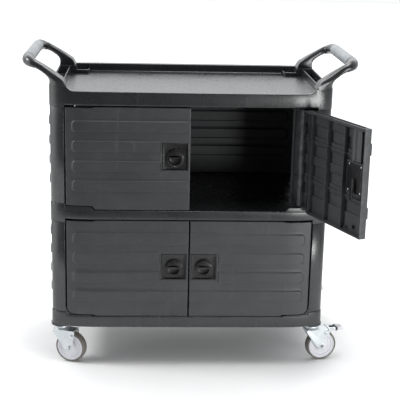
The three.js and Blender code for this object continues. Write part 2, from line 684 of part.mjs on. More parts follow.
for (const level of levels) {
  const z0 = level.below.collarHigh + GAP;
  const z1 = level.above.collarLow - GAP;
  const panelLow = level.below.high + GAP;
  const panelHigh = level.above.low - GAP;
  for (const side of sides) {
    for (const end of ends) {
      const name = `${level.name}_post_${end.name}_${side.name}`;
      cart.add(part(name, post(side.sign, end.sign, z0, z1), 'shell'));
    }
    const panel = sidePanel(side.sign, panelLow, panelHigh, level.door);
    cart.add(part(`${level.name}_side_panel_${side.name}`, panel, 'door'));
    addDoor(level, side);
  }
  cart.add(part(`${level.name}_back_panel`, backPanel(panelLow, panelHigh, level.door), 'door'));
}

for (const side of sides) {
  cart.add(part(`handle_${side.name}`, handle(side.sign), 'shell'));
  cart.add(part(`grip_${side.name}`, grip(side.sign), 'grip'));
}

// Casters stand as they were last pushed; the two on the right have a foot brake.
const casters = [
  { name: 'front_left', at: [-CASTER_X, -CASTER_Y], yaw: -21, brake: false },
  { name: 'front_right', at: [CASTER_X, -CASTER_Y], yaw: 12, brake: true },
  { name: 'rear_left', at: [-CASTER_X, CASTER_Y], yaw: 8, brake: false },
  { name: 'rear_right', at: [CASTER_X, CASTER_Y], yaw: -15, brake: true },
];
for (const caster of casters) {
  const [x, y] = caster.at;
  const swivel = new THREE.Group();
  swivel.position.set(x, y, 0);
  swivel.rotation.z = THREE.MathUtils.degToRad(caster.yaw);
  swivel.add(part(`caster_stem_${caster.name}`, casterStem(), 'zinc'));
  swivel.add(part(`caster_fork_${caster.name}`, casterFork(), 'zinc'));
  swivel.add(part(`caster_axle_${caster.name}`, casterAxle(), 'steel'));
  swivel.add(part(`caster_hub_${caster.name}`, casterHub(), 'hub'));
  swivel.add(part(`caster_tyre_${caster.name}`, casterTyre(), 'tyre'));
  if (caster.brake) swivel.add(part(`brake_pedal_${caster.name}`, brakePedal(), 'zinc'));
  cart.add(swivel);
}

export default cart;
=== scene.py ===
import math

import bmesh
import bpy
import numpy as np
from mathutils import Matrix, Vector


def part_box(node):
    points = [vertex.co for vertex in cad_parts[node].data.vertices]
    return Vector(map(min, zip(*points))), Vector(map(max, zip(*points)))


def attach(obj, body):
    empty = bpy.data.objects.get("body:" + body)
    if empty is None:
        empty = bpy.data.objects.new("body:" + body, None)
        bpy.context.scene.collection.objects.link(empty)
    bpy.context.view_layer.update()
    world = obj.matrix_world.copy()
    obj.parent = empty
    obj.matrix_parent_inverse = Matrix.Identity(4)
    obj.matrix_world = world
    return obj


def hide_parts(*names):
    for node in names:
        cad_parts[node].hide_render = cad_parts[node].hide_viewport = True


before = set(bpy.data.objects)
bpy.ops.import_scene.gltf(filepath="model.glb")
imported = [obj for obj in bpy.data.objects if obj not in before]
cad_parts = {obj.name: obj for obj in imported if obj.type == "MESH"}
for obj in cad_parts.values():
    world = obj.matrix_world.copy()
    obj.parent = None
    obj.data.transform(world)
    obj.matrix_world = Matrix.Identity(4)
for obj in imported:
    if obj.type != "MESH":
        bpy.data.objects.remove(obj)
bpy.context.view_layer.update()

# Housekeeping cart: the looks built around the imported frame.
# Lengths below are in millimetres in the part's own frame, and meshes are made in metres.

MM = 0.001


def extent(node):
    """Lowest and highest corner of a CAD node, in millimetres."""
    low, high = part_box(node)
    return low / MM, high / MM


# ---- Driving sizes, read from the frame --------------------------------------
SHELF_HIGH = extent("middle_shelf")[1]
HALF_LENGTH = SHELF_HIGH.x
HALF_DEPTH = SHELF_HIGH.y
CORNER_RUN = 130.0          # the plan's corners are quarter ellipses
CORNER_DROP = 45.0
STRAIGHT_X = HALF_LENGTH - CORNER_RUN
STRAIGHT_Y = HALF_DEPTH - CORNER_DROP
SHELL = 4.0
FRONT_RIM, END_RIM, BACK_RIM = 14.0, 38.0, 24.0
BANDS = {
    "bottom": {"low": 131.0, "high": 168.0, "collar": (131.0, 178.0)},
    "middle": {"low": 485.0, "high": 515.0, "deck": 511.0, "collar": (473.0, 532.5)},
    "top": {"low": 840.0, "high": 883.0, "deck": 870.0, "collar": (834.0, 896.0)},
}
POST_X = extent("upper_post_front_right")[0].x - 1.5
POST_Y = -extent("upper_post_front_right")[1].y - 1.5
POST_STEP = 1.5
PANEL_INSET = 2.0
PANEL_SKIN = 3.5
RIB_PROUD = 4.0
RIB_HALF = 17.0
RIB_PITCH = 62.0
RIB_END = 361.0
DOOR_FREE = extent("door_lower_right")[0].x
DOOR_HINGE = extent("door_lower_right")[1].x
DOOR_DEPTH = 22.0
CUTAWAY = 300.0
DOORS = {
    "upper": {"low": 517.0, "high": 837.0, "cut": (529.0, 834.0), "corner": 4.0, "ribs": 591.5},
    "lower": {"low": 168.9, "high": 483.0, "cut": (173.0, 480.0), "corner": 26.0, "ribs": 237.0},
}
PIVOT = Vector((340.0, -246.0, 0.0))
OPEN_ANGLE = math.radians(113)
LOCK_Z = {"upper": 686.0, "lower": 333.0}
LOCK_NEAR, LOCK_FAR, LOCK_HALF = 6.0, 88.0, 43.0
LOCK_BACK = -247.0
KNOB_X, KNOB_DROP, KNOB_R, BEZEL_R = 47.0, 5.0, 23.0, 27.0
CAM_Y = {"left": -243.2, "right": -239.7}
CAM_THICK = 2.5
GRIP_X, GRIP_Z, GRIP_R = 498.0, 966.0, 18.0
GRIP_HALF = 150.0
ARM_Y = 213.0
WHEEL_R, HUB_R, TRAIL, HALF_WIDTH = 50.0, 43.0, 35.0, 14.0
FORK_TOP, FORK_IN, FORK_SHEET = 108.0, 17.5, 2.5
CASTERS = {
    "front_left": (-404.0, -211.0, -21.0, False),
    "front_right": (404.0, -211.0, 12.0, True),
    "rear_left": (-404.0, 211.0, 8.0, False),
    "rear_right": (404.0, 211.0, -15.0, True),
}
SIDES = {"left": -1.0, "right": 1.0}
AXIS = 0.01                 # where a lathe profile meets its axis


# ---- Mesh helpers -------------------------------------------------------------
def joined(*parts):
    """Several (vertices, faces) meshes as one."""
    verts, faces = [], []
    for v, f in parts:
        start = sum(len(x) for x in verts)
        verts.append(np.asarray(v, float))
        faces += [[i + start for i in face] for face in f]
    return np.vstack(verts), faces


def moved(part, matrix):
    v, f = part
    m = np.array(matrix, float)
    return np.asarray(v, float) @ m[:3, :3].T + m[:3, 3], f


def shifted(part, x=0.0, y=0.0, z=0.0):
    v, f = part
    return np.asarray(v, float) + np.array([x, y, z]), f


def flipped(faces):
    return [list(reversed(face)) for face in faces]


def rect(x0, x1, y0, y1):
    return [(x0, y0), (x1, y0), (x1, y1), (x0, y1)]


def circle(sides):
    """Equally spaced angles all the way round."""
    return np.linspace(0, 2 * math.pi, sides, endpoint=False)


def quarter(steps):
    """Equally spaced angles from 0 to a right angle, both included."""
    return [math.pi / 2 * k / steps for k in range(steps + 1)]


def laid(part, x=0.0, y=0.0, z=0.0):
    """A part turned about Z, laid down so that it is turned about an axis along Y through x and z."""
    v, f = part
    return np.column_stack([v[:, 0] + x, v[:, 2] + y, v[:, 1] + z]), f


def mirrored(part, sign):
    """The part itself for sign 1, or its mirror image in the YZ plane for sign -1."""
    v, f = part
    if sign > 0:
        return part
    return np.asarray(v, float) * np.array([-1, 1, 1]), flipped(f)


def loft(rings, cap=True):
    """Skins a list of equal rings of 3-D points."""
    rings = [np.asarray(r, float) for r in rings]
    n = len(rings[0])
    verts = np.vstack(rings)
    faces = []
    for k in range(len(rings) - 1):
        a, b = k * n, (k + 1) * n
        for i in range(n):
            j = (i + 1) % n
            faces.append([a + i, a + j, b + j, b + i])
    if cap:
        last = (len(rings) - 1) * n
        faces.append(list(range(n))[::-1])
        faces.append([last + i for i in range(n)])
    return verts, faces


def ring_loop(rings):
    """Skins rings and joins the last one back to the first, as a closed tube."""
    verts, faces = loft(rings, cap=False)
    n = len(rings[0])
    last = (len(rings) - 1) * n
    for i in range(n):
        j = (i + 1) % n
        faces.append([last + i, last + j, j, i])
    return verts, faces


def lathe(profile, sides, closed=False):
    """Turns a (radius, height) profile about Z. An open profile starts and ends on the axis."""
    rings = [[(r * math.cos(a), r * math.sin(a), z) for a in circle(sides)] for r, z in profile if r > 0]
    if closed:
        return ring_loop(rings)
    return loft(rings)


def raised(profile, base):
    """A profile whose heights are counted from base."""
    return [(r, base + height) for r, height in profile]


def rounded(points, radius, steps=5):
    """A polygon with its corners replaced by arcs of one radius, or of a radius each from a list."""
    points = [np.asarray(p, float) for p in points]
    radii = radius if hasattr(radius, "__len__") else [radius] * len(points)
    out = []
    for i, p in enumerate(points):
        a, b = points[i - 1] - p, points[(i + 1) % len(points)] - p
        la, lb = np.linalg.norm(a), np.linalg.norm(b)
        a, b = a / la, b / lb
        half = math.acos(max(-1, min(1, float(a @ b)))) / 2
        r = radii[i]
        if r <= 0 or half > math.pi / 2 - 0.02:
            out.append(p)
            continue
        reach = min(r / math.tan(half), 0.48 * la, 0.48 * lb)
        r = reach * math.tan(half)
        centre = p + (a + b) / np.linalg.norm(a + b) * (r / math.sin(half))
        s, e = p + a * reach - centre, p + b * reach - centre
        sweep = math.atan2(s[0] * e[1] - s[1] * e[0], float(s @ e))
        for k in range(steps + 1):
            t = sweep * k / steps
            c, d = math.cos(t), math.sin(t)
            out.append(centre + np.array([s[0] * c - s[1] * d, s[0] * d + s[1] * c]))
    return np.array(out)


def area_sign(points):
    p = np.asarray(points, float)
    q = np.roll(p, -1, axis=0)
    return 1.0 if float(np.sum(p[:, 0] * q[:, 1] - p[:, 1] * q[:, 0])) > 0 else -1.0


def inset(points, distance):
    """The outline moved inwards by distance, along the mitre at every point."""
    p = np.asarray(points, float)
    sign = area_sign(p)
    before, after = p - np.roll(p, 1, axis=0), np.roll(p, -1, axis=0) - p
    before /= np.linalg.norm(before, axis=1)[:, None]
    after /= np.linalg.norm(after, axis=1)[:, None]
    n1 = np.stack([-before[:, 1], before[:, 0]], 1) * sign
    n2 = np.stack([-after[:, 1], after[:, 0]], 1) * sign
    mid = n1 + n2
    mid /= np.linalg.norm(mid, axis=1)[:, None]
    scale = distance / np.maximum(0.35, np.sum(mid * n1, axis=1))
    return p + mid * scale[:, None]


def counter_clockwise(outline):
    p = np.asarray(outline, float)
    return p[::-1] if area_sign(p) < 0 else p


def stacked(outline, levels):
    """Skins copies of the outline, each moved inwards by its distance and set at its height."""
    rings = []
    for distance, z in levels:
        ring = inset(outline, distance) if distance else outline
        rings.append(np.column_stack([ring, np.full(len(ring), z)]))
    return loft(rings)


def prism(outline, z0, z1, low=0.0, high=0.0, steps=3):
    """A plan outline raised from z0 to z1, with its lower and upper edges rounded."""
    levels = [(0.0, z0)]
    if low > 0:
        levels = [(low * (1 - math.sin(t)), z0 + low * (1 - math.cos(t))) for t in quarter(steps)]
    if high > 0:
        levels += [(high * (1 - math.cos(t)), z1 - high * (1 - math.sin(t))) for t in quarter(steps)]
    else:
        levels.append((0.0, z1))
    return stacked(counter_clockwise(outline), levels)


def prism_y(outline, y0, y1, low=0.0, high=0.0, steps=3):
    """An (x, z) outline run from y0 to y1 with rounded edges."""
    v, f = prism(outline, -y1, -y0, high, low, steps)
    return np.column_stack([v[:, 0], -v[:, 2], v[:, 1]]), f


def brick(x0, x1, y0, y1, z0, z1, r=0.8, steps=2):
    return prism(rounded(rect(x0, x1, y0, y1), r * 1.2, steps), z0, z1, r, r, steps)


def round_outline(x, y, radius, sides):
    return np.column_stack([x + radius * np.cos(circle(sides)), y + radius * np.sin(circle(sides))])


def disc_y(x, z, radius, y0, y1, sides=48, low=0.0, high=0.0, steps=3):
    return prism_y(round_outline(x, z, radius, sides), y0, y1, low, high, steps)


def disc_z(x, y, radius, z0, z1, sides=48):
    return prism(round_outline(x, y, radius, sides), z0, z1)


def raw_object(part):
    verts, faces = part
    mesh = bpy.data.meshes.new("shape")
    mesh.from_pydata((np.asarray(verts, float) * MM).tolist(), [], faces)
    bm = bmesh.new()
    bm.from_mesh(mesh)
    bmesh.ops.remove_doubles(bm, verts=bm.verts, dist=1e-7)
    bmesh.ops.recalc_face_normals(bm, faces=bm.faces)
    bm.to_mesh(mesh)
    bm.free()
    obj = bpy.data.objects.new("shape", mesh)
    bpy.context.scene.collection.objects.link(obj)
    return obj


def combined(base, add=(), cut=()):
    """One clean closed mesh: base joined with the add parts, then with the cut parts taken away."""
    body = raw_object(base)
    tools = []
    for parts, operation in ((add, "UNION"), (cut, "DIFFERENCE")):
        for part in parts:
            tool = raw_object(part)
            step = body.modifiers.new("step", "BOOLEAN")
            step.operation = operation
            step.solver = "MANIFOLD"
            step.object = tool
            tools.append(tool)
    bpy.context.view_layer.update()
    result = body.evaluated_get(bpy.context.evaluated_depsgraph_get()).to_mesh()
    verts = np.array([v.co[:] for v in result.vertices], float) / MM
    faces = [list(p.vertices) for p in result.polygons]
    for o in [body, *tools]:
        bpy.data.objects.remove(o)
    return verts, faces


def show(name, part, look, body, replaces="", sharp=34.0, turn=None):
    """Makes a finished piece: smooth faces, sharp edges past an angle, its look and body."""
    if turn is not None:
        part = moved(part, turn)
    obj = raw_object(part)
    obj.name = name
    obj.data.name = name
    bm = bmesh.new()
    bm.from_mesh(obj.data)
    limit = math.radians(sharp)
    for face in bm.faces:
        face.smooth = True
    for edge in bm.edges:
        edge.smooth = len(edge.link_faces) == 2 and edge.calc_face_angle(0.0) < limit
    bm.to_mesh(obj.data)
    bm.free()
    obj.data.materials.append(LOOKS[look])
    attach(obj, body)
    if replaces:
        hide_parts(replaces)


# ---- Plan outlines ------------------------------------------------------------
def face_depth(x, back=0.0):
    """How far from the middle plane the moulded front or back face lies at |X| = x."""
    beyond = np.clip((np.abs(x) - STRAIGHT_X) / (CORNER_RUN - back), 0, 1)
    return STRAIGHT_Y + (CORNER_DROP - back) * np.sqrt(1 - beyond ** 2)


def shelf_plan(back=0.0, steps=26):
    """The shelf outline moved inwards, counter-clockwise from the right end's middle."""
    run, drop = CORNER_RUN - back, CORNER_DROP - back
    out = []
    for qx, qy, start in ((1, 1, 0), (-1, 1, 1), (-1, -1, 2), (1, -1, 3)):
        for k in range(steps + 1):
            a = math.pi / 2 * (start + k / steps)
            out.append((qx * STRAIGHT_X + run * math.cos(a), qy * STRAIGHT_Y + drop * math.sin(a)))
    return np.array(out)


def corner_plan(back=0.0, radius=2.5, steps=22):
    """The front right corner block of the plan, moved inwards by back."""
    run = CORNER_RUN - back
    x0 = POST_X + back
    start = math.acos((x0 - STRAIGHT_X) / run)
    curve = []
    for k in range(steps + 1):
        a = start * (1 - k / steps)
        x = STRAIGHT_X + run * math.cos(a)
        curve.append((x, -(STRAIGHT_Y + (CORNER_DROP - back) * math.sin(a))))
    y1 = -(POST_Y + back)
    points = curve + [(HALF_LENGTH - back, y1), (x0, y1)]
    radii = [radius] + [0.0] * steps + [radius, radius]
    return rounded(points, radii, 4)


def at_corner(part, side, end):
    """A front right corner part placed at any corner."""
    v, f = part
    v = np.asarray(v, float) * np.array([side, -end, 1.0])
    return (v, flipped(f)) if side * -end < 0 else (v, f)


# ---- Sheets: moulded panels as closed height fields ----------------------------
def lines(keys, gap):
    """Grid lines through every key, with no step wider than gap."""
    keys = sorted(set(round(float(k), 4) for k in keys))
    out = [keys[0]]
    for a, b in zip(keys, keys[1:]):
        n = max(1, math.ceil((b - a) / gap))
        out += [a + (b - a) * k / n for k in range(1, n + 1)]
    return np.array(out)


def sheet(us, vs, outer, inner, place, keep=None):
    """A closed sheet over a grid: outer and inner give its two depths, place puts them in space."""
    u, v = np.meshgrid(us, vs, indexing="ij")
    n, m = u.shape
    verts = np.vstack([place(u, v, f(u, v)).reshape(-1, 3) for f in (outer, inner)])
    centre_u, centre_v = (u[:-1, :-1] + u[1:, 1:]) / 2, (v[:-1, :-1] + v[1:, 1:]) / 2
    kept = np.ones((n - 1, m - 1), bool) if keep is None else keep(centre_u, centre_v)
    size = n * m
    faces = []
    for i in range(n - 1):
        for j in range(m - 1):
            if not kept[i, j]:
                continue
            a, b, c, d = i * m + j, (i + 1) * m + j, (i + 1) * m + j + 1, i * m + j + 1
            faces.append([a, b, c, d])
            faces.append([d + size, c + size, b + size, a + size])
            sides = (
                (i == 0 or not kept[i - 1, j], d, a), (i == n - 2 or not kept[i + 1, j], b, c),
                (j == 0 or not kept[i, j - 1], a, b), (j == m - 2 or not kept[i, j + 1], c, d),
            )
            for bare, p, q in sides:
                if bare:
                    faces.append([q, p, p + size, q + size])
    return verts, faces


def ramp(x, low, high):
    """0 below low, 1 above high, with a smooth rise between."""
    t = np.clip((x - low) / (high - low), 0, 1)
    return t * t * (3 - 2 * t)


def capsule(u, v, u0, u1, v0, half, corner=11.0):
    """Distance outside a bar with rounded corners, from u0 to u1 along the row v0."""
    du = np.abs(u - (u0 + u1) / 2) - (u1 - u0) / 2 + corner
    dv = np.abs(v - v0) - half + corner
    return np.hypot(np.maximum(du, 0), np.maximum(dv, 0)) + np.minimum(np.maximum(du, dv), 0) - corner


def rounding(distance, radius):
    """How far a surface falls back at this distance from a rounded edge."""
    t = np.clip(1 - distance / radius, 0, 1)
    return radius * (1 - np.sqrt(1 - t * t))


EDGE = 2.4                                      # radius of the panels' outer edges
EDGE_LINES = [0.0, 0.25, 0.7, 1.4, 2.4]
RIB_SLOPE = 2.6                                 # half the width of a rib's sloping border
RIB_UNDER = 0.9                                 # the same along its steeper lower side


def rib_rows(first):
    return [first + RIB_PITCH * k for k in range(4)]


def rib_keys(first):
    keys = []
    for z in rib_rows(first):
        keys += [z + RIB_HALF + RIB_SLOPE * k / 2 for k in (-2, -1, 0, 1, 2)]
        keys += [z - RIB_HALF + RIB_UNDER * k for k in (-1, 0, 1)] + [z + k * 3.2 for k in range(-4, 5)]
    return keys


def rib_height(u, v, u0, u1, first):
    """1 on a rib, 0 off it."""
    height = np.zeros_like(u)
    for z in rib_rows(first):
        slope = RIB_UNDER + (RIB_SLOPE - RIB_UNDER) * ramp(v - z, -RIB_HALF, 0)
        away = capsule(u, v, u0, u1, z, RIB_HALF) / slope
        height = np.maximum(height, 1 - ramp(away, -1.0, 1.0))
    return height


# ---- Doors --------------------------------------------------------------------
PIN_R = 4.0
BARS = (113.5, 203.5, 293.5)                    # stiffening bars inside a door
BAR_DEPTH = 16.0
CROSS = {"upper": (622.5, 746.5), "lower": (268.0, 392.0)}
CROSS_DEPTH = 9.5
CHANNEL_BARS = (26.5, 47.0, 68.5)               # in the channel above the lock
CHANNEL_KEYS = [24, 25, 25.6, 27.4, 28.2, 46.1, 47.9, 67.6, 69.4, 70.2, 71]
LOCK_GAP = 0.3
RIB_STOP = 93.0                                 # ribs beside the lock end here
GROOVE_FLOOR = 5.0                              # depth of the groove along a door's top edge


def door_low(u, door):
    """The lower edge of a door: it steps up past the cutaway and is round at the hinge side."""
    step = np.clip((u - CUTAWAY + 8) / 8, 0, 1)
    s = np.clip((u - (DOOR_HINGE - door["corner"])) / door["corner"], 0, 1)
    return door["low"] + (door["cut"][0] - door["low"]) * step + door["corner"] * (1 - np.sqrt(1 - s)) ** 2


def door_high(u, door):
    return door["high"] - (door["high"] - door["cut"][1]) * np.clip((u - CUTAWAY + 8) / 8, 0, 1)


def door_part(level, sign):
    door = DOORS[level]
    low, high, lock = door["low"], door["high"], LOCK_Z[level]
    first = door["ribs"]
    reach_low = first - RIB_HALF - RIB_SLOPE - low
    reach_high = high - first - 3 * RIB_PITCH - RIB_HALF - RIB_SLOPE
    wall = PANEL_SKIN
    u_lock = (LOCK_NEAR - LOCK_GAP, LOCK_FAR + LOCK_GAP)
    v_lock = (lock - LOCK_HALF - LOCK_GAP, lock + LOCK_HALF + LOCK_GAP)
    soft = 0.8

    def place(u, v, depth):
        fall_low = np.clip(1 - (v - low) / reach_low, 0, 1)
        fall_high = np.clip(1 - (high - v) / reach_high, 0, 1)
        z = v + (door_low(u, door) - low) * fall_low - (high - door_high(u, door)) * fall_high
        y = -face_depth(u, PANEL_INSET + depth)
        return np.stack([sign * u, y, z], -1)

    def ribs(u, v):
        every = rib_height(u, v, -60.0, RIB_END, first)
        beside = (np.abs(v - lock) < LOCK_HALF + 26).astype(float)
        return every * (1 - beside * (1 - ramp(u, RIB_STOP - 1.5, RIB_STOP + 1.5)))

    def edge_distance(u, v):
        return np.minimum(np.minimum(u - DOOR_FREE, DOOR_HINGE - u), np.minimum(v - low, high - v))

    def outer(u, v):
        return rounding(edge_distance(u, v), EDGE) - RIB_PROUD * ribs(u, v)

    def wall_at(x, centre, half):
        return 1 - ramp(np.abs(x - centre), half, half + soft)

    def inner(u, v):
        depth = wall - RIB_PROUD * ribs(u, v)
        stepped = 4.0 * ramp(u, 318, 320) + 5.0 * ramp(u, 352, 354)
        depth = depth + stepped * (1 - wall_at(np.minimum(v - low, high - v), 0, wall))
        for x in BARS:
            depth = depth + (BAR_DEPTH - depth) * wall_at(u, x, 1.0)
        for z in CROSS[level]:
            at_lock = wall_at(u, 0, 90.0) * (abs(z - lock) < LOCK_HALF + 4)
            depth = depth + (CROSS_DEPTH - depth) * wall_at(v, z, 0.8) * (1 - at_lock)
        above = ramp(v, lock + LOCK_HALF + 3, lock + LOCK_HALF + 5)
        channel = above * ramp(u, 24, 25) * (1 - ramp(u, 70, 71))
        depth = depth + (10.0 - depth) * channel
        for x in CHANNEL_BARS:
            depth = depth + (BAR_DEPTH - depth) * wall_at(u, x, 0.9) * above
        box = ramp(u, u_lock[0] - 5, u_lock[0] - 4) * (1 - ramp(u, u_lock[1] + 3, u_lock[1] + 4))
        box = box * (1 - ramp(np.abs(v - lock), LOCK_HALF + 3, LOCK_HALF + 4))
        depth = depth + (17.0 - depth) * box
        inside = np.minimum(edge_distance(u, v), high - v - GROOVE_FLOOR)
        rim = 1 - ramp(inside, wall, wall + soft)
        return depth + (DOOR_DEPTH - depth) * rim

    edge_keys = EDGE_LINES + [wall, wall + soft]
    u_keys = [DOOR_FREE + e for e in edge_keys] + [DOOR_HINGE - e for e in edge_keys]
    for x in BARS:
        u_keys += [x - 1.8, x - 1.0, x + 1.0, x + 1.8]
    u_keys += list(u_lock) + [u_lock[1] + 3, u_lock[1] + 4] + CHANNEL_KEYS
    u_keys += [RIB_STOP - 1.5, RIB_STOP, RIB_STOP + 1.5, 318, 320, 352, 354, 292, 300]
    u_keys += [RIB_END - RIB_HALF - 2 + 1.9 * k for k in range(12)]
    v_keys = [low + e for e in edge_keys] + [high - e for e in edge_keys]
    v_keys += rib_keys(first) + list(v_lock) + [lock + s * (LOCK_HALF + e) for s in (-1, 1) for e in (3, 4)]
    v_keys += [lock + LOCK_HALF + 5, high - GROOVE_FLOOR - wall, high - GROOVE_FLOOR - wall - soft]
    for z in CROSS[level]:
        v_keys += [z - 1.6, z - 0.8, z + 0.8, z + 1.6]

    def keep(u, v):
        return ~((u > u_lock[0]) & (u < u_lock[1]) & (v > v_lock[0]) & (v < v_lock[1]))

    panel = sheet(lines(u_keys, 14), lines(v_keys, 12), outer, inner, place, keep)
    us = [12, 70, 130, 190, 250, 287]
    groove = [(u, -face_depth(u, PANEL_INSET + 4.5)) for u in us]
    groove += [(u, -face_depth(u, PANEL_INSET + 18.5)) for u in us[::-1]]
    panel = combined(panel, cut=[mirrored(prism(groove, high - GROOVE_FLOOR, high + 3), sign)])
    parts = [panel]
    px, py = sign * PIVOT.x, PIVOT.y
    skin_back = -HALF_DEPTH + PANEL_INSET + PANEL_SKIN - 1
    for z in (door["cut"][0] + 0.2, door["cut"][1] - 38.2):
        knuckle = raised([(4.4, 0), (6.7, 0), (7.5, 0.8), (7.5, 37.2), (6.7, 38), (4.4, 38)], z)
        parts.append(shifted(lathe(knuckle, 28, closed=True), px, py))
        parts.append(brick(px - 4.5, px + 4.5, skin_back, py - 5.5, z + 0.5, z + 37.5, 0.5))
    z0, z1 = door["cut"][0] + 37, door["cut"][1] - 37
    parts.append(shifted(lathe([(4.4, z0), (6.6, z0), (6.6, z1), (4.4, z1)], 28, closed=True), px, py))
    parts.append(brick(px - 1.8, px + 1.8, skin_back, py - 5.2, z0, z1, 0.4))
    for x, z, r in ((60, low + 21, 5.5), (14, low + 14, 3.2), (14, high - 14, 3.2), (96, low + 12, 3.2)):
        parts.append(disc_y(sign * x, z, r, skin_back, -HALF_DEPTH + PANEL_INSET + 13, 24, 0, 0.8))
    return joined(*parts)


def open_turn(level, side):
    """The upper right door stands open: it is turned about its hinge."""
    if (level, side) != ("upper", "right"):
        return Matrix.Identity(4)
    return Matrix.Translation(PIVOT) @ Matrix.Rotation(OPEN_ANGLE, 4, "Z") @ Matrix.Translation(-PIVOT)


def make_doors():
    for level in DOORS:
        for side, sign in SIDES.items():
            tag = f"{level}_{side}"
            turn = open_turn(level, side)
            body = f"door_{tag}"
            show(f"{tag}_door_panel", door_part(level, sign), "panel", body, f"door_{tag}", turn=turn)
            show(f"{tag}_latch_body", latch_body(level, sign), "lock", body, f"latch_housing_{tag}",
                 turn=turn)
            show(f"{tag}_latch_screws", latch_screws(level, sign), "steel", body, turn=turn)
            show(f"{tag}_latch_turn", latch_turn(level, side, sign), "lock", f"latch_{tag}",
                 f"latch_knob_{tag}", turn=turn)
            show(f"{tag}_pin", hinge_rod(tag), "pin", "frame", f"hinge_pin_{tag}")


def hinge_rod(tag):
    low, high = extent(f"hinge_pin_{tag}")
    foot = raised([(AXIS, 0), (PIN_R - 0.8, 0), (PIN_R, 0.8)], low.z)
    tip = raised([(PIN_R, -0.8), (PIN_R - 0.8, 0), (AXIS, 0)], high.z)
    return shifted(lathe(foot + tip, 24), (low.x + high.x) / 2, PIVOT.y)


# ---- Latches ------------------------------------------------------------------
LOCK_FACE = -HALF_DEPTH + PANEL_INSET - 0.5
LOCK_FLOOR = -257.0


def latch_body(level, sign):
    lock = LOCK_Z[level]
    kx, kz = sign * KNOB_X, lock - KNOB_DROP
    x0, x1 = sorted((sign * LOCK_NEAR, sign * LOCK_FAR))
    z0, z1 = lock - LOCK_HALF, lock + LOCK_HALF

    def square(b, r):
        return rounded(rect(x0 + b, x1 - b, z0 + b, z1 - b), r)

    case = prism_y(square(0, 2.5), LOCK_FACE, LOCK_BACK, 1.0, 1.0)
    pan = prism_y(square(3.0, 4.0), LOCK_FACE - 5, LOCK_FLOOR, 0.0, 1.6)
    ring = disc_y(kx, kz, BEZEL_R, LOCK_FACE + 1.0, LOCK_BACK - 1, 64, 1.6)
    bore = disc_y(kx, kz, KNOB_R + 0.3, LOCK_FACE - 5, LOCK_BACK - 2, 64)
    spindle = disc_y(kx, kz, 6.3, LOCK_BACK - 4, LOCK_BACK + 4, 32)
    body = combined(case, cut=[pan])
    body = combined(body, add=[ring])
    body = combined(body, cut=[bore, spindle])
    bead = [(2.6, -0.6), (1.9, -1.3), (1.1, -0.9), (0.9, 0.4), (2.6, 0.4)]
    lip = [(BEZEL_R - inward, height) for inward, height in bead]
    return joined(body, laid(lathe(lip, 64, closed=True), kx, LOCK_FACE + 1.0, kz))


def latch_screws(level, sign):
    """Four pan-head screws in the corners of the housing's rear plate."""
    lock = LOCK_Z[level]
    parts = []
    for x in (LOCK_NEAR + 11, LOCK_FAR - 11):
        for z in (lock - LOCK_HALF + 5, lock + LOCK_HALF - 5):
            screw = lathe([(AXIS, 0), (2.6, 0), (2.6, 0.4), (2.0, 1.1), (1.0, 1.4), (AXIS, 1.4)], 20)
            parts.append(laid(screw, sign * x, LOCK_BACK - 0.1, z))
    return joined(*parts)


def latch_turn(level, side, sign):
    """The round turn with its finger cup, and the cam behind it."""
    x, z = sign * KNOB_X, LOCK_Z[level] - KNOB_DROP
    face, back = -HALF_DEPTH + PANEL_INSET + 1.2, LOCK_BACK - 2.3
    cam_y = CAM_Y[side]
    disc = disc_y(x, z, KNOB_R, face, back, 64, 1.2, 0.4)

    def arc(level, across, up, angles):
        return [(x + across * math.cos(a), level + up * math.sin(a)) for a in angles]

    half_moon = arc(z - 2.5, 18, 18, np.linspace(math.pi, 2 * math.pi, 25))
    brow = arc(z - 2.5, 18, 6, np.linspace(0, math.pi, 17)[1:-1])
    cup = prism_y(half_moon + brow, face - 4, back - 3, 0.0, 2.0)
    lens = arc(z + 3, 19, 10.5, np.linspace(0, math.pi, 25))
    lens += arc(z + 3, 19, 5.2, np.linspace(math.pi, 0, 25)[1:-1])
    brow_lip = prism_y(lens, face - 1.4, face + 2, 0.8, 0.0)
    body = combined(disc, add=[brow_lip])
    body = combined(body, cut=[cup])
    spindle = disc_y(x, z, 6.0, back - 0.5, cam_y + 1, 32)
    reach, wide = 58.0, 6.0
    tongue = rounded(rect(x - wide, x + wide, z - reach, z + wide), 4.5)
    plate = prism_y(tongue, cam_y, cam_y + CAM_THICK, 0.4, 0.4)
    return joined(body, spindle, plate)


# ---- Side and back panels -------------------------------------------------------
LEVELS = {"upper": ("middle", "top"), "lower": ("bottom", "middle")}
TUCK = 2.5                                      # a back panel's foot stands this deep in the shelf below


def panel_keys(z0, z1, first):
    return [z0, z0 + 0.7, z0 + 2, z1 - 2, z1 - 0.7, z1] + rib_keys(first)


def side_panel(level, sign):
    low, high = extent(f"{level}_side_panel_{'left' if sign < 0 else 'right'}")
    first = DOORS[level]["ribs"]
    half, face = high.y, HALF_LENGTH - PANEL_INSET
    end = half - 12
    proud = max(abs(low.x), abs(high.x)) - face

    def place(y, z, depth):
        return np.stack([sign * (face - depth), y, z], -1)

    def outer(y, z):
        rise = np.zeros_like(y)
        for row in rib_rows(first):
            away = capsule(y, z, -end, end, row, RIB_HALF)
            rise = np.maximum(rise, 1 - ramp(away, -RIB_SLOPE - 1.2, RIB_SLOPE + 0.4))
        return -proud * rise

    def inner(y, z):
        return outer(y, z) * 0.9 + PANEL_SKIN + 1.0

    ends = [s * (end - RIB_HALF + 1.9 * k) for s in (-1, 1) for k in range(-1, 11)]
    ys = lines([-half, half, -half + 2, half - 2] + ends, 16)
    zs = lines(panel_keys(low.z, high.z, first), 12)
    return sheet(ys, zs, outer, inner, place)


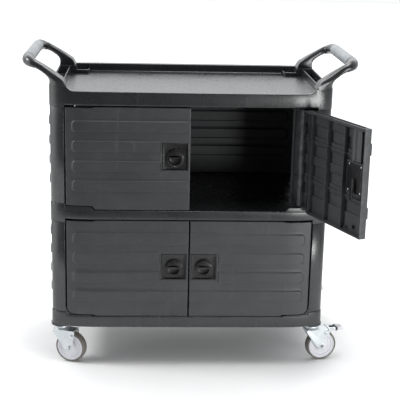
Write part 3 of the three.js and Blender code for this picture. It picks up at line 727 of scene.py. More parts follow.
def back_panel(level):
    low, high = extent(f"{level}_back_panel")
    first = DOORS[level]["ribs"]

    def place(x, z, depth):
        return np.stack([x, face_depth(x, PANEL_INSET + depth), z], -1)

    def outer(x, z):
        return RIB_PROUD * (1 - rib_height(np.abs(x), z, -60, RIB_END, first))

    def inner(x, z):
        return outer(x, z) + PANEL_SKIN

    ends = [s * (RIB_END - RIB_HALF - 2 + 1.9 * k) for s in (-1, 1) for k in range(12)]
    xs = lines([low.x, high.x] + [s * STRAIGHT_X for s in (-1, 1)] + ends, 14)
    zs = lines(panel_keys(low.z - TUCK, high.z, first), 12)
    return sheet(xs, zs, outer, inner, place)


def make_panels():
    for level in LEVELS:
        for side, sign in SIDES.items():
            node = f"{level}_side_panel_{side}"
            show(f"{level}_end_panel_{side}", side_panel(level, sign), "panel", "frame", node)
        node = f"{level}_back_panel"
        show(f"{level}_rear_panel", back_panel(level), "panel", "frame", node)


# ---- Posts ----------------------------------------------------------------------
def post_part(z0, z1):
    """A hollow corner post: outer skin and bore joined at both ends."""
    bevel = 0.8
    skin = [(bevel, z0), (0.0, z0 + bevel), (0.0, z1 - bevel), (bevel, z1), (SHELL, z1), (SHELL, z0)]
    rings = []
    for back, z in [(POST_STEP + b, z) for b, z in skin]:
        plan = corner_plan(back)
        rings.append(np.column_stack([plan, np.full(len(plan), z)]))
    return ring_loop(rings)


def make_posts():
    for level in LEVELS:
        for side, sx in SIDES.items():
            for end, sy in (("front", -1.0), ("rear", 1.0)):
                node = f"{level}_post_{end}_{side}"
                low, high = extent(node)
                part = at_corner(post_part(low.z, high.z), sx, sy)
                show(f"{level}_{end}_{side}_column", part, "shell", "frame", node, sharp=50)


# ---- Shelves --------------------------------------------------------------------
def pocket_tool(outline, z0, z1, fillet, flare, over=6.0, steps=4):
    """A cutter for a tray: a fillet round its floor and a rolled edge round its mouth."""
    levels = [(fillet * (1 - math.sin(t)), z0 + fillet * (1 - math.cos(t))) for t in quarter(steps)]
    levels += [(-flare * (1 - math.cos(t)), z1 - flare + flare * math.sin(t)) for t in quarter(steps)]
    levels.append((-flare, z1 + over))
    return stacked(counter_clockwise(outline), levels)


def under_tool(level, z1):
    """The hollow under a shelf, inside its wall and clear of the corner collars."""
    low = BANDS[level]["low"] - 15
    return prism(shelf_plan(SHELL), low, z1, 0, 3.0)


def corner_set(part):
    return [at_corner(part, sx, sy) for sx in (-1.0, 1.0) for sy in (-1.0, 1.0)]


def boss_set(z0, z1):
    return [disc_z(sx * PIVOT.x, PIVOT.y, 10, z0, z1, 32) for sx in (-1, 1)]


def hole_set(z0, z1):
    return [disc_z(sx * PIVOT.x, PIVOT.y, 4.3, z0, z1, 24) for sx in (-1, 1)]


def pads(z0, z1):
    """Hinge pads between the doors' hinge ends and the shelf, on both sides."""
    out = []
    xs = np.linspace(305, POST_X + 1, 9)
    outline = [(x, -face_depth(x, PANEL_INSET)) for x in xs]
    outline += [(x, -face_depth(x, PANEL_INSET + 34)) for x in xs[::-1]]
    front = -float(face_depth(CUTAWAY, PANEL_INSET))
    slope = prism_y([(295, z1 - 13.5), (305.5, z1 - 0.6), (305.5, z1 - 13.5)], front, front + 34)
    for sx in (-1.0, 1.0):
        out += [mirrored(prism(outline, z0, z1, 0, 1.2), sx), mirrored(slope, sx)]
    return out


def underside_ribs(z0, z1):
    """Stiffening ribs across the hollow underside of a shelf."""
    half = 1.6
    out = [brick(x - half, x + half, -206, 206, z0, z1, 0.4) for x in range(-320, 321, 80)]
    out += [brick(-376, 376, y - half, y + half, z0 + 1, z1, 0.4) for y in range(-150, 151, 100)]
    return out


def shelf_body(level, tray_low):
    """Band, floor, collars and hinge pads of the middle or bottom shelf."""
    band = BANDS[level]
    c0, c1 = band["collar"]
    floor_under = tray_low - 8
    body = prism(shelf_plan(), band["low"], band["high"], 5.0, 2.5, 5)
    body = combined(body, cut=[under_tool(level, floor_under)])
    high_bosses = max(band["low"] + 8, floor_under - 14) if level == "bottom" else band["low"]
    collar = prism(corner_plan(0), c0, c1, 1.4 if c0 < band["low"] else 5.0, 1.4)
    ribs = underside_ribs(floor_under - 9, floor_under + 1)
    body = combined(body, add=corner_set(collar) + boss_set(high_bosses, tray_low - 1) + ribs)
    tray = pocket_tool(shelf_plan(6.0), tray_low, band["high"], 1.2, 1.2)
    blocks = corner_set(prism(corner_plan(-1.0, radius=0.5), tray_low - 5, band["high"] + 12))
    pad_top = DOORS["upper" if level == "middle" else "lower"]["cut"][0] - 2
    keep_out = combined(tray, cut=blocks + pads(tray_low - 5, band["high"] + 12))
    body = combined(body, cut=[keep_out])
    body = combined(body, add=pads(tray_low - 1, pad_top))
    return body, pad_top


def spigot(z0, z1):
    return corner_set(prism(corner_plan(POST_STEP + SHELL + 0.6), z0, z1, 0, 1.0))


def corner_fill(level):
    """The web between a collar and the round lower corner of the lower doors."""
    door = DOORS[level]
    low = door["cut"][0] - 3
    points = []
    for s in np.linspace(0, 1, 13):
        u = DOOR_HINGE - door["corner"] + door["corner"] * s + 3.2 * s
        points.append((u, door["cut"][0] - 2 + (door["corner"]) * (1 - math.sqrt(1 - s * 0.999)) ** 2))
    points += [(POST_X + 3, points[-1][1]), (POST_X + 3, low)]
    points.insert(0, (points[0][0], low))
    web = prism_y(points, -face_depth(384.0) + 3.0, -face_depth(384.0) + 9.5)
    return [mirrored(web, sx) for sx in (-1.0, 1.0)]


def middle_shelf():
    band = BANDS["middle"]
    body, pad_top = shelf_body("middle", band["deck"])
    body = combined(body, add=spigot(band["collar"][1] - 2, band["collar"][1] + 20))
    body = combined(body, add=spigot(band["collar"][0] - 20, band["collar"][0] + 2))
    holes = hole_set(pad_top - 13, pad_top + 1) + hole_set(band["low"] - 1, band["low"] + 13)
    return combined(body, cut=holes)


def bottom_shelf():
    band = BANDS["bottom"]
    body, pad_top = shelf_body("bottom", 164.0)
    body = combined(body, add=spigot(band["collar"][1] - 2, band["collar"][1] + 20) + corner_fill("lower"))
    holes = [disc_z(x, y, 8, band["low"] - 1, band["low"] + 36, 32) for x, y, _, _ in CASTERS.values()]
    return combined(body, cut=holes + hole_set(pad_top - 13, pad_top + 1))


SCOOP_X, SCOOP_Z, SCOOP_R = 350.0, 919.0, 35.5


def rim_top(x):
    """Height of the rolled front rim: flat, then a quarter circle up to the handle arms."""
    over = np.clip(np.abs(x) - SCOOP_X, 0, SCOOP_R)
    return SCOOP_Z - np.sqrt(SCOOP_R ** 2 - over ** 2)


def front_rim():
    """The rolled rim along the front of the top shelf, with its ends swept up."""
    arc = [SCOOP_X + SCOOP_R * math.sin(math.radians(a)) for a in range(0, 50, 4)] + [376.6]
    xs = [-x for x in reversed(arc)] + list(np.linspace(-330, 330, 23)) + arc
    rings = []
    for x in xs:
        top, out, width = float(rim_top(x)), -float(face_depth(x)), FRONT_RIM
        section = [(out, 866.0), (out, top), (out + width, top), (out + width, 866.0)]
        section = rounded(section, [0, 3.4, 3.4, 0], 5)
        rings.append([(x, y, z) for y, z in section])
    return loft(rings)


def top_shelf():
    band = BANDS["top"]
    deck, c1 = band["deck"], band["collar"][1]
    body = prism(shelf_plan(), band["low"], c1, 5.0, 0.8, 5)
    body = combined(body, cut=[under_tool("top", deck - 8)])
    collar = prism(corner_plan(0), band["collar"][0], c1, 1.4, 0.8)
    bosses = boss_set(band["low"], deck - 4)
    body = combined(body, add=corner_set(collar) + bosses + underside_ribs(853, 863))
    half_x, y0, y1 = HALF_LENGTH - END_RIM, -HALF_DEPTH + FRONT_RIM, HALF_DEPTH - BACK_RIM
    outline = rounded(rect(-half_x, half_x, y0, y1), 16, 6)
    tray = pocket_tool(outline, deck, c1, 3.0, 1.6, 8)
    blocks = []
    for sx in (-1.0, 1.0):
        low = rect(366, half_x + 12, 182, y1 + 8)
        top = rect(381, half_x + 12, 186, y1 + 8)
        block = loft([[(x, y, deck - 6) for x, y in low], [(x, y, c1 + 12) for x, y in top]])
        lip_plan = rounded(rect(330, 378, 182, y1 + 8), [12, 0.5, 0.5, 0.5], 8)
        dip_plan = rounded(rect(334, 384, 186, y1 + 9), [8, 0.5, 0.5, 0.5], 8)
        lip, dip = prism(lip_plan, deck - 6, 882.5, 0, 1.2), prism(dip_plan, deck, 890)
        blocks += [mirrored(block, sx), mirrored(combined(lip, cut=[dip]), sx)]
    body = combined(body, cut=[combined(tray, cut=blocks)])
    slot = rounded(rect(396.5, 426, -190, 182), [5, 5, 2, 2], 4)
    body = combined(body, cut=[mirrored(pocket_tool(slot, 866, c1, 2.0, 0.9, 8), sx) for sx in (-1.0, 1.0)])
    front = prism_y(rect(-385.4, 385.4, 866.5, 925), -HALF_DEPTH - 5, y0 + 0.02)
    body = combined(body, cut=[front])
    body = combined(body, add=[front_rim(), *rim_ends()])
    body = combined(body, add=spigot(band["collar"][0] - 20, band["collar"][0] + 2))
    grooves = deck_seams(deck)
    pegs = [brick(sx * 408 - 9.3, sx * 408 + 9.3, sy * ARM_Y - 9.3, sy * ARM_Y + 9.3, 876, 905, 0.5)
            for sx in (-1, 1) for sy in (-1, 1)]
    return combined(body, cut=pegs + grooves + hole_set(band["low"] - 1, band["low"] + 13))


def rim_ends():
    """The corner blocks outside the scoops, up to the seam under each arm."""
    xs = np.linspace(376.55, 392.0, 5)
    inside = -HALF_DEPTH + FRONT_RIM
    outline = [(x, -face_depth(x)) for x in xs] + [(392.0, inside), (376.55, inside)]
    block = prism(outline, 866.0, 896.0)
    return [mirrored(block, sx) for sx in (-1.0, 1.0)]


def deck_seams(deck):
    """Faint lines where the ribs under the deck have drawn its surface in."""
    half, places = 0.7, range(-262, 263, 131)
    return [brick(x - half, x + half, -240, 228, deck - 0.35, deck + 2, 0.1, 1) for x in places]


def make_shelves():
    show("top_tray", top_shelf(), "shell", "frame", "top_shelf", sharp=30)
    show("middle_tray", middle_shelf(), "shell", "frame", "middle_shelf", sharp=30)
    show("bottom_tray", bottom_shelf(), "shell", "frame", "bottom_shelf", sharp=30)


# ---- Handles --------------------------------------------------------------------
ARM_RING = 44
ARM_SIDE = 14.5                                 # half width of an arm where it turns towards the grip
TUBE_R = 17.6


def ray_radius(outline, centre, angle):
    """Distance from the centre to the outline along a direction."""
    d = np.array([math.cos(angle), math.sin(angle)])
    best = 0.0
    for p, q in zip(outline, np.roll(outline, -1, axis=0)):
        e, w = q - p, p - centre
        det = d[0] * -e[1] + e[0] * d[1]
        if abs(det) < 1e-9:
            continue
        t = (w[0] * -e[1] + e[0] * w[1]) / det
        s = (d[0] * w[1] - d[1] * w[0]) / det
        if -1e-6 <= s <= 1 + 1e-6 and t > best:
            best = t
    return best


def arm_part():
    """The front right arm, from the corner block up and round into the grip's axis."""
    contour = [
        ((431.0, 896.3), (376.8, 896.3)), ((432.4, 902.0), (381.0, 903.5)), ((434.2, 908.5), (384.2, 911.0)),
        ((436.8, 915.0), (389.0, 917.5)), ((440.4, 921.8), (397.0, 924.0)), ((445.2, 928.2), (407.5, 932.2)),
        ((451.5, 933.8), (419.5, 940.6)), ((459.5, 938.8), (432.5, 948.6)), ((468.0, 942.8), (445.0, 956.2)),
        ((476.5, 946.0), (457.0, 963.2)),
    ]
    foot = []
    for x in np.linspace(384.5, 430.9, 12):
        foot.append((x, -float(face_depth(x))))
    foot = np.array([(376.8, -float(face_depth(376.8)) + 0.6)] + foot + [(431, -196.5), (376.8, -196.5)])
    foot = rounded(foot, [2.0] + [0.0] * 12 + [3.0, 3.0], 3)
    foot_centre = np.array([404.0, -224.0])
    angles = circle(ARM_RING)
    foot_r = np.array([ray_radius(foot, foot_centre, a) for a in angles])
    start = np.array([466.7, -ARM_Y, 954.6])
    corner = np.array([GRIP_X, -ARM_Y, GRIP_Z])
    end = np.array([GRIP_X, -GRIP_HALF, GRIP_Z])
    rings = []
    last = len(contour)
    for k, (o, i) in enumerate(contour):
        o, i = np.array(o), np.array(i)
        mid, across = (o + i) / 2, (o - i) / 2
        t = k / last
        width = 31.0 + (ARM_SIDE - 31.0) * float(ramp(np.array(t), 0.0, 0.95))
        y_mid = -227.0 + (start[1] + 227.0) * float(ramp(np.array(t), 0.0, 1.0))
        blend = float(ramp(np.array(t), 0.05, 0.62))
        power = 2.0 / (4.2 + (2.3 - 4.2) * t)
        ring = []
        for n, a in enumerate(angles):
            c, s = math.cos(a), math.sin(a)
            egg = np.array([abs(c) ** power * math.copysign(1, c), abs(s) ** power * math.copysign(1, s)])
            fx = (foot_centre[0] + foot_r[n] * c - mid[0]) / 27.1
            fy = foot_centre[1] + foot_r[n] * s
            x_part = (1 - blend) * np.clip(fx, -1.0, 1.0) + blend * egg[0]
            y_part = (1 - blend) * fy + blend * (y_mid + width * egg[1])
            point = mid + across * x_part
            ring.append((point[0], y_part, point[1]))
        rings.append(ring)
    down = corner - start
    down = np.array([down[2], 0, -down[0]]) / np.linalg.norm(down)
    for t in (0.07, 0.15, 0.24, 0.34, 0.45, 0.56, 0.68, 0.80, 0.91, 1.0):
        centre = (1 - t) ** 2 * start + 2 * t * (1 - t) * corner + t * t * end
        ahead = (1 - t) * (corner - start) + t * (end - corner)
        ahead = ahead / np.linalg.norm(ahead)
        under = down - ahead * np.dot(down, ahead)
        under = under / np.linalg.norm(under)
        beside = np.cross(ahead, under)
        a_half = 12.6 + (TUBE_R - 12.6) * min(1.0, 1.6 * t)
        b_half = ARM_SIDE + (TUBE_R - ARM_SIDE) * min(1.0, 1.6 * t)
        power = 2.0 / (2.3 + (2.0 - 2.3) * t)
        ring = []
        for a in angles:
            c, s = math.cos(a), math.sin(a)
            c = abs(c) ** power * math.copysign(1, c)
            s = abs(s) ** power * math.copysign(1, s)
            ring.append(centre + under * a_half * c + beside * b_half * s)
        rings.append(ring)
    tail = np.array(rings[-1])
    middle = tail.mean(axis=0)
    rings[-1] = middle + (tail - middle) * 0.985
    core = middle + (tail - middle) * (11.0 / TUBE_R)
    rings.append(core)
    rings.append(core + np.array([0, GRIP_HALF + 0.5, 0]))
    return loft(rings)


def handle_part(sign):
    front = arm_part()
    v, f = front
    rear = (np.asarray(v) * np.array([1, -1, 1]), flipped(f))
    body = combined(front, add=[rear])
    pegs = [brick(408 - 9, 408 + 9, sy * ARM_Y - 9, sy * ARM_Y + 9, 877, 902, 0.8) for sy in (-1, 1)]
    return mirrored(combined(body, add=pegs), sign)


def grip_part(sign):
    """A soft sleeve with fine crosswise ribs, bored for the handle's core."""
    pitch, crest, sides = 5.2, 0.7, 40
    half = GRIP_HALF - 0.3
    count = int((2 * half - 6) / pitch)
    start = -count * pitch / 2
    profile = [(11.6, -half), (GRIP_R - 1.0, -half), (GRIP_R, -half + 1.0), (GRIP_R, start - 0.4)]
    for k in range(count):
        y = start + k * pitch
        profile += [(GRIP_R - crest, y + 0.3), (GRIP_R - crest, y + 1.1)]
        profile += [(GRIP_R, y + 1.9), (GRIP_R, y + pitch - 0.5)]
    profile += [(GRIP_R, half - 1.0), (GRIP_R - 1.0, half), (11.6, half)]
    v, f = lathe(profile, sides, closed=True)
    return np.column_stack([sign * GRIP_X + sign * v[:, 0], v[:, 2], GRIP_Z + v[:, 1]]), f


def make_handles():
    for side, sign in SIDES.items():
        show(f"{side}_push_handle", handle_part(sign), "shell", "frame", f"handle_{side}", sharp=48)
        show(f"{side}_soft_grip", grip_part(sign), "grip", "frame", f"grip_{side}", sharp=60)


# ---- Casters --------------------------------------------------------------------
# Each is made with its swivel axis on Z and the wheel trailing along +X.
STEM_SEAT = BANDS["bottom"]["low"] - 0.3
PEDAL_X, PEDAL_Z = 46, 93                       # the pedal's pivot
PEDAL_HALF = 13.5


def on_wheel(part):
    return laid(part, TRAIL, 0.0, WHEEL_R)


def caster_race():
    low, top = FORK_TOP + 6.3, 121.0
    king_pin = raised([(AXIS, -6), (7.0, -6), (9.0, -5), (9.0, -3.3), (5.0, -3.3)], FORK_TOP)
    race = raised([(5.0, 0), (21.5, 0), (24.5, 0.8), (25.4, 2.4)], low)
    race += raised([(25.4, -2.0), (24.2, 0), (7.5, 0)], top)
    stem = raised([(7.5, 33), (6.5, 34), (AXIS, 34)], STEM_SEAT)
    return lathe(king_pin + race + stem, 56)


def caster_spacer():
    side = [(7.9, 121.3), (22, 121.3), (23, 122.2), (30.6, 123.4), (31.4, 124.4)]
    return lathe(side + [(31.4, STEM_SEAT), (7.9, STEM_SEAT)], 48, closed=True)


def caster_fork():
    top, bore = FORK_TOP, 5.3
    crown = lathe(raised([
        (bore, -3), (18, -3), (22, -2), (25.2, 0.4), (26.0, 1.4), (25.2, 2.4),
        (22.5, 2.8), (21.0, 4.8), (19.0, 6.0), (bore, 6.0),
    ], top), 56, closed=True)
    outline = raised([(-19, 0), (-20.5, -9)], top)
    outline += raised([(22.5, -13), (36.5, -14.5), (47.5, -8)], WHEEL_R)
    outline += raised([(48.5, -44), (50.0, -28), (53.0, -18), (53.0, 0)], top)
    leg = rounded(outline, [2, 7, 7, 10, 7, 30, 12, 6, 2], 6)
    sheet_out = FORK_IN + FORK_SHEET
    legs = [prism_y(leg, s0, s1, 0.7, 0.7) for s0, s1 in ((-sheet_out, -FORK_IN), (FORK_IN, sheet_out))]
    plate = rounded(rect(-19, 53, -sheet_out, sheet_out), [6, 2, 2, 6], 5)
    bridge = prism(plate, top - 3, top, 0.5, 1.4)
    room = on_wheel(disc_part(WHEEL_R + 2.5, -FORK_IN, FORK_IN, 64))
    bridge = combined(bridge, cut=[room])
    body = combined(crown, add=[bridge])
    bosses = [disc_y(TRAIL, WHEEL_R, 9.5, s0, s1, 40, 0.5, 0.5) for s0, s1 in
              ((-sheet_out - 0.8, -sheet_out + 1), (sheet_out - 1, sheet_out + 0.8))]
    body = combined(body, add=legs)
    body = combined(body, add=bosses)
    axle_hole = disc_y(TRAIL, WHEEL_R, 4.3, -30, 30, 28)
    pedal_hole = disc_y(PEDAL_X, PEDAL_Z, 3.3, -30, 30, 28)
    king_hole = disc_z(0, 0, bore, top - 10, top + 10, 36)
    return combined(body, cut=[axle_hole, pedal_hole, king_hole])


def disc_part(radius, z0, z1, sides):
    return lathe([(AXIS, z0), (radius, z0), (radius, z1), (AXIS, z1)], sides)


def caster_axle():
    reach = FORK_IN + FORK_SHEET + 0.8
    thread = raised([(AXIS, -9), (3.4, -9), (4, -8.4)], -reach)
    rod = lathe(thread + [(4, reach + 2), (AXIS, reach + 2)], 32)
    hexagon = rounded([(5.4 * math.cos(a), 5.4 * math.sin(a)) for a in circle(6)], 0.8, 2)
    head = prism(hexagon, reach + 1.0, reach + 6.0, 0.2, 1.1)
    nut = prism(hexagon, -reach - 6.6, -reach - 1.2, 0.9, 0.3)
    washers = []
    for z in (reach - 0.1, -reach - 1.2):
        section = raised([(4.2, 0), (6.6, 0), (6.9, 0.3), (6.9, 0.9), (6.6, 1.2), (4.2, 1.2)], z)
        washers.append(lathe(section, 36, closed=True))
    return joined(*[on_wheel(p) for p in (rod, head, nut, *washers)])


def caster_tyre():
    inner = HUB_R + 0.3
    edge = raised([
        (inner, 1.2), (inner + 0.6, 0.6), (WHEEL_R - 4.4, 0.0), (WHEEL_R - 2.2, 1.0),
        (WHEEL_R - 0.9, 3.2), (WHEEL_R - 0.3, 6.5),
    ], -HALF_WIDTH)
    edge.append((WHEEL_R, -4))
    return on_wheel(lathe(edge + [(r, -z) for r, z in reversed(edge)], 96, closed=True))


def caster_hub():
    """Nylon wheel centre: stepped rings on both faces round a raised boss."""
    bore = 4.3
    face = raised([
        (bore, 1.5), (10.5, 1.5), (11.6, 0.6), (12.2, -2.0), (13.6, -3.6), (24.0, -4.6),
        (24.8, -3.4), (26.4, -3.4), (27.2, -4.8), (33.0, -5.0), (34.2, -2.2), (36.0, -1.9),
        (37.0, -2.9), (39.6, -2.9), (40.6, -0.8), (42.2, -0.6), (HUB_R, -1.4),
    ], HALF_WIDTH)
    return on_wheel(lathe(face + [(r, -z) for r, z in reversed(face)], 96, closed=True))


def brake_lever():
    """Pressed pedal: two cheeks on studs, a front wall and a top plate."""
    ear, thick = 20.8, 2.2
    cheek = [(40.5, 86.5), (53, 87.5), (57, 91), (57, 108.4), (53.8, 108.4), (53.4, 99.5), (40.5, 99.5)]
    cheek = rounded(cheek, [6, 3, 2, 2, 0.6, 4, 6], 5)
    body = brick(54.0, 56.4, -ear - thick, ear + thick, 99.0, 108.4, 0.5)
    shoulder = [(54, ear + thick), (57, ear + thick), (63, PEDAL_HALF), (84, PEDAL_HALF)]
    top = rounded([(x, -y) for x, y in shoulder] + shoulder[::-1], [2, 2, 4, 2, 2, 4, 2, 2], 4)
    body = combined(body, add=[prism(top, 106.2, 108.4, 0.5, 0.9)])
    lower = prism_y(rect(60, 84, 99.0, 101), -PEDAL_HALF + 0.5, PEDAL_HALF - 0.5)
    wall = rounded(rect(55, 84, 99.5, 107), [2, 1, 1, 1], 3)
    walls = [prism_y(wall, y0, y1, 0.5, 0.5) for y0, y1 in
             ((-PEDAL_HALF, 2 - PEDAL_HALF), (PEDAL_HALF - 2, PEDAL_HALF))]
    sides = [prism_y(cheek, y0, y1, 0.6, 0.6) for y0, y1 in ((-ear - thick, -ear), (ear, ear + thick))]
    body = combined(body, add=[lower])
    body = combined(body, add=sides)
    body = combined(body, add=walls)
    body = combined(body, cut=[brick(61.5, 80.0, -8.5, 8.5, 104, 112, 2.0)])
    studs, sockets = ((-ear - 1, -17.8), (17.8, ear + 1)), ((-30, -17), (17, 30))
    body = combined(body, add=[disc_y(PEDAL_X, PEDAL_Z, 3.0, y0, y1, 28, 0.3, 0.3) for y0, y1 in studs])
    return combined(body, cut=[disc_y(PEDAL_X, PEDAL_Z, 2.1, y0, y1, 24) for y0, y1 in sockets])


def brake_spring():
    """A coil spring between the cheeks, along the pedal."""
    turns, radius, wire, x0, x1, z = 6.5, 3.2, 0.85, 58.5, 79.0, 102.6
    steps, sides = 150, 8
    rings = []
    for k in range(steps + 1):
        t = k / steps
        a = 2 * math.pi * turns * t
        centre = np.array([x0 + (x1 - x0) * t, radius * math.cos(a), z + radius * math.sin(a)])
        out = np.array([0, math.cos(a), math.sin(a)])
        along = np.array([1.0, 0, 0])
        rings.append([centre + wire * (math.cos(b) * out + math.sin(b) * along) for b in circle(sides)])
    coil = loft(rings)
    return joined(shifted(coil, y=-5.2), shifted(coil, y=5.2))


def brake_cap():
    outline = rounded([(80.5, 96.5), (86.5, 98.0), (86.5, 110.2), (80.5, 110.2)], 1.6, 4)
    return prism_y(outline, -PEDAL_HALF - 1, PEDAL_HALF + 1, 1.2, 1.2)


def brake_tread():
    outline = [(86.8, 98.6), (98, 97.6), (108.5, 100.5), (108.5, 107.4), (100, 109.2), (86.8, 109.2)]
    outline = rounded(outline, [0.8, 8, 3.5, 3.5, 6, 0.8], 5)
    body = prism_y(outline, -PEDAL_HALF, PEDAL_HALF, 2.6, 2.6, 4)
    grooves = [brick(x, x + 1.2, -10.5, 10.5, 108.3, 116, 0.1, 1) for x in (89.5, 92.7, 95.9, 99.1)]
    return combined(body, cut=grooves)


def make_casters():
    for name, (x, y, yaw, brake) in CASTERS.items():
        at = Matrix.Translation((x, y, 0)) @ Matrix.Rotation(math.radians(yaw), 4, "Z")
        swivel, wheel, pedal = f"swivel_{name}", f"wheel_{name}", f"brake_{name}"
        show(f"{name}_race", caster_race(), "zinc", "frame", f"caster_stem_{name}", turn=at)
        show(f"{name}_spacer", caster_spacer(), "lock", "frame", turn=at)
        show(f"{name}_yoke", caster_fork(), "zinc", swivel, f"caster_fork_{name}", sharp=40, turn=at)
        show(f"{name}_wheel_bolt", caster_axle(), "steel", swivel, f"caster_axle_{name}", turn=at)
        show(f"{name}_wheel_centre", caster_hub(), "hub", wheel, f"caster_hub_{name}", turn=at)
        show(f"{name}_tread", caster_tyre(), "tyre", wheel, f"caster_tyre_{name}", turn=at)
        if brake:
            show(f"{name}_pedal", brake_lever(), "zinc", pedal, f"brake_pedal_{name}", turn=at)
            show(f"{name}_pedal_spring", brake_spring(), "pin", pedal, turn=at)
            show(f"{name}_pedal_cap", brake_cap(), "lock", pedal, turn=at)
            show(f"{name}_pedal_tread", brake_tread(), "hub", pedal, turn=at)


# ---- Materials ------------------------------------------------------------------
class Look:
    """A small helper that strings shader nodes together for one material."""

    def __init__(self, name):
        self.material = bpy.data.materials.new(name)
        self.material.use_nodes = True
        self.tree = self.material.node_tree
        self.shader = self.tree.nodes["Principled BSDF"]
        self.coords = self.node("ShaderNodeTexCoord").outputs["Object"]

    def node(self, kind, **settings):
        n = self.tree.nodes.new(kind)
        for key, value in settings.items():
            setattr(n, key, value)
        return n

    def link(self, a, b):
        self.tree.links.new(a, b)

    def stretched(self, scale):
        mapping = self.node("ShaderNodeMapping")
        mapping.inputs["Scale"].default_value = scale
        self.link(self.coords, mapping.inputs["Vector"])
        return mapping.outputs["Vector"]

    def noise(self, scale, detail=4.0, roughness=0.55, vector=None, distortion=0.0):
        n = self.node("ShaderNodeTexNoise")
        n.inputs["Scale"].default_value = scale
        n.inputs["Detail"].default_value = detail
        n.inputs["Roughness"].default_value = roughness
        n.inputs["Distortion"].default_value = distortion
        self.link(vector or self.coords, n.inputs["Vector"])
        return n.outputs["Fac"]

    def voronoi(self, scale):
        n = self.node("ShaderNodeTexVoronoi")
        n.inputs["Scale"].default_value = scale
        self.link(self.coords, n.inputs["Vector"])
        return n.outputs["Distance"]

    def spread(self, value, low, high, to_low=0.0, to_high=1.0):
        n = self.node("ShaderNodeMapRange", clamp=True)
        for key, v in (("From Min", low), ("From Max", high), ("To Min", to_low), ("To Max", to_high)):
            n.inputs[key].default_value = v
        self.link(value, n.inputs["Value"])
        return n.outputs["Result"]

    def patches(self, scale, detail, low, high, to_low=0.0, to_high=1.0, roughness=0.55):
        """Noise of a given scale, with the part of it between low and high spread over a range."""
        return self.spread(self.noise(scale, detail, roughness), low, high, to_low, to_high)

    def maths(self, operation, a, b):
        n = self.node("ShaderNodeMath", operation=operation)
        for socket, v in zip(n.inputs, (a, b)):
            if hasattr(v, "links"):
                self.link(v, socket)
            else:
                socket.default_value = v
        return n.outputs[0]

    def mix(self, factor, a, b):
        n = self.node("ShaderNodeMix", data_type="RGBA")
        for socket, v in ((n.inputs["Factor"], factor), (n.inputs["A"], a), (n.inputs["B"], b)):
            if hasattr(v, "links"):
                self.link(v, socket)
            elif isinstance(v, (int, float)):
                socket.default_value = v
            else:
                socket.default_value = (*v, 1.0)
        return n.outputs["Result"]

    def worn_edges(self):
        """Strong where the mesh is sharply convex."""
        pointed = self.node("ShaderNodeNewGeometry").outputs["Pointiness"]
        return self.spread(pointed, 0.53, 0.6)

    def bump(self, layers):
        """Height layers, each (value, distance in metres), one on top of the other."""
        normal = None
        for value, distance in layers:
            n = self.node("ShaderNodeBump")
            n.inputs["Strength"].default_value = 1.0
            n.inputs["Distance"].default_value = distance
            self.link(value, n.inputs["Height"])
            if normal is not None:
                self.link(normal, n.inputs["Normal"])
            normal = n.outputs["Normal"]
        self.link(normal, self.shader.inputs["Normal"])

    def finish(self, colour, roughness, **fixed):
        self.link(colour, self.shader.inputs["Base Color"])
        self.link(roughness, self.shader.inputs["Roughness"])
        for key, v in fixed.items():
            self.shader.inputs[key.replace("_", " ")].default_value = v
        return self.material


def moulded_plastic(name, base, light, roughness, pebble, wear, specular):
    """Structural foam plastic: pebble grain, flow mottling, fine scuffs and paler handled edges."""
    look = Look(name)
    cloud = look.noise(5.5, 5.0, 0.6, distortion=0.6)
    swirl = look.noise(26.0, 6.0, 0.65, distortion=1.4)
    tone = look.mix(look.spread(cloud, 0.35, 0.68), base, light)
    tone = look.mix(look.spread(swirl, 0.48, 0.74, 0.0, 0.35), tone, tuple(c * 1.5 + 0.004 for c in light))
    streaks = look.noise(60.0, 3.0, 0.6, look.stretched((1.0, 1.0, 0.05)))
    strokes = look.spread(streaks, 0.62, 0.70, 0.0, 0.30)
    tone = look.mix(strokes, tone, tuple(c * 1.7 + 0.006 for c in light))
    edge = look.maths("MULTIPLY", look.worn_edges(), look.patches(48.0, 4.0, 0.42, 0.62))
    tone = look.mix(look.maths("MULTIPLY", edge, wear), tone, tuple(c * 2.6 + 0.03 for c in light))
    grain = look.voronoi(620.0)
    fine = look.noise(1400.0, 2.0)
    rough = look.spread(look.noise(14.0, 5.0, 0.6), 0.3, 0.72, roughness - 0.02, roughness + 0.04)
    rough = look.maths("ADD", rough, look.maths("MULTIPLY", strokes, 0.22))
    look.bump([(grain, pebble), (fine, pebble * 0.5), (look.noise(7.0, 1.0), 0.00012)])
    return look.finish(tone, rough, IOR=1.5, **{"Specular_IOR_Level": specular})


def grip_look():
    look = Look("grip_rubber")
    tone = look.mix(look.patches(30.0, 5.0, 0.35, 0.7), (0.25, 0.265, 0.28), (0.32, 0.335, 0.35))
    dirt = look.patches(11.0, 6.0, 0.55, 0.75, 0.0, 0.4, roughness=0.7)
    tone = look.mix(dirt, tone, (0.20, 0.205, 0.21))
    rough = look.patches(70.0, 4.0, 0.3, 0.7, 0.55, 0.75)
    look.bump([(look.noise(900.0, 2.0), 0.00012)])
    return look.finish(tone, rough)


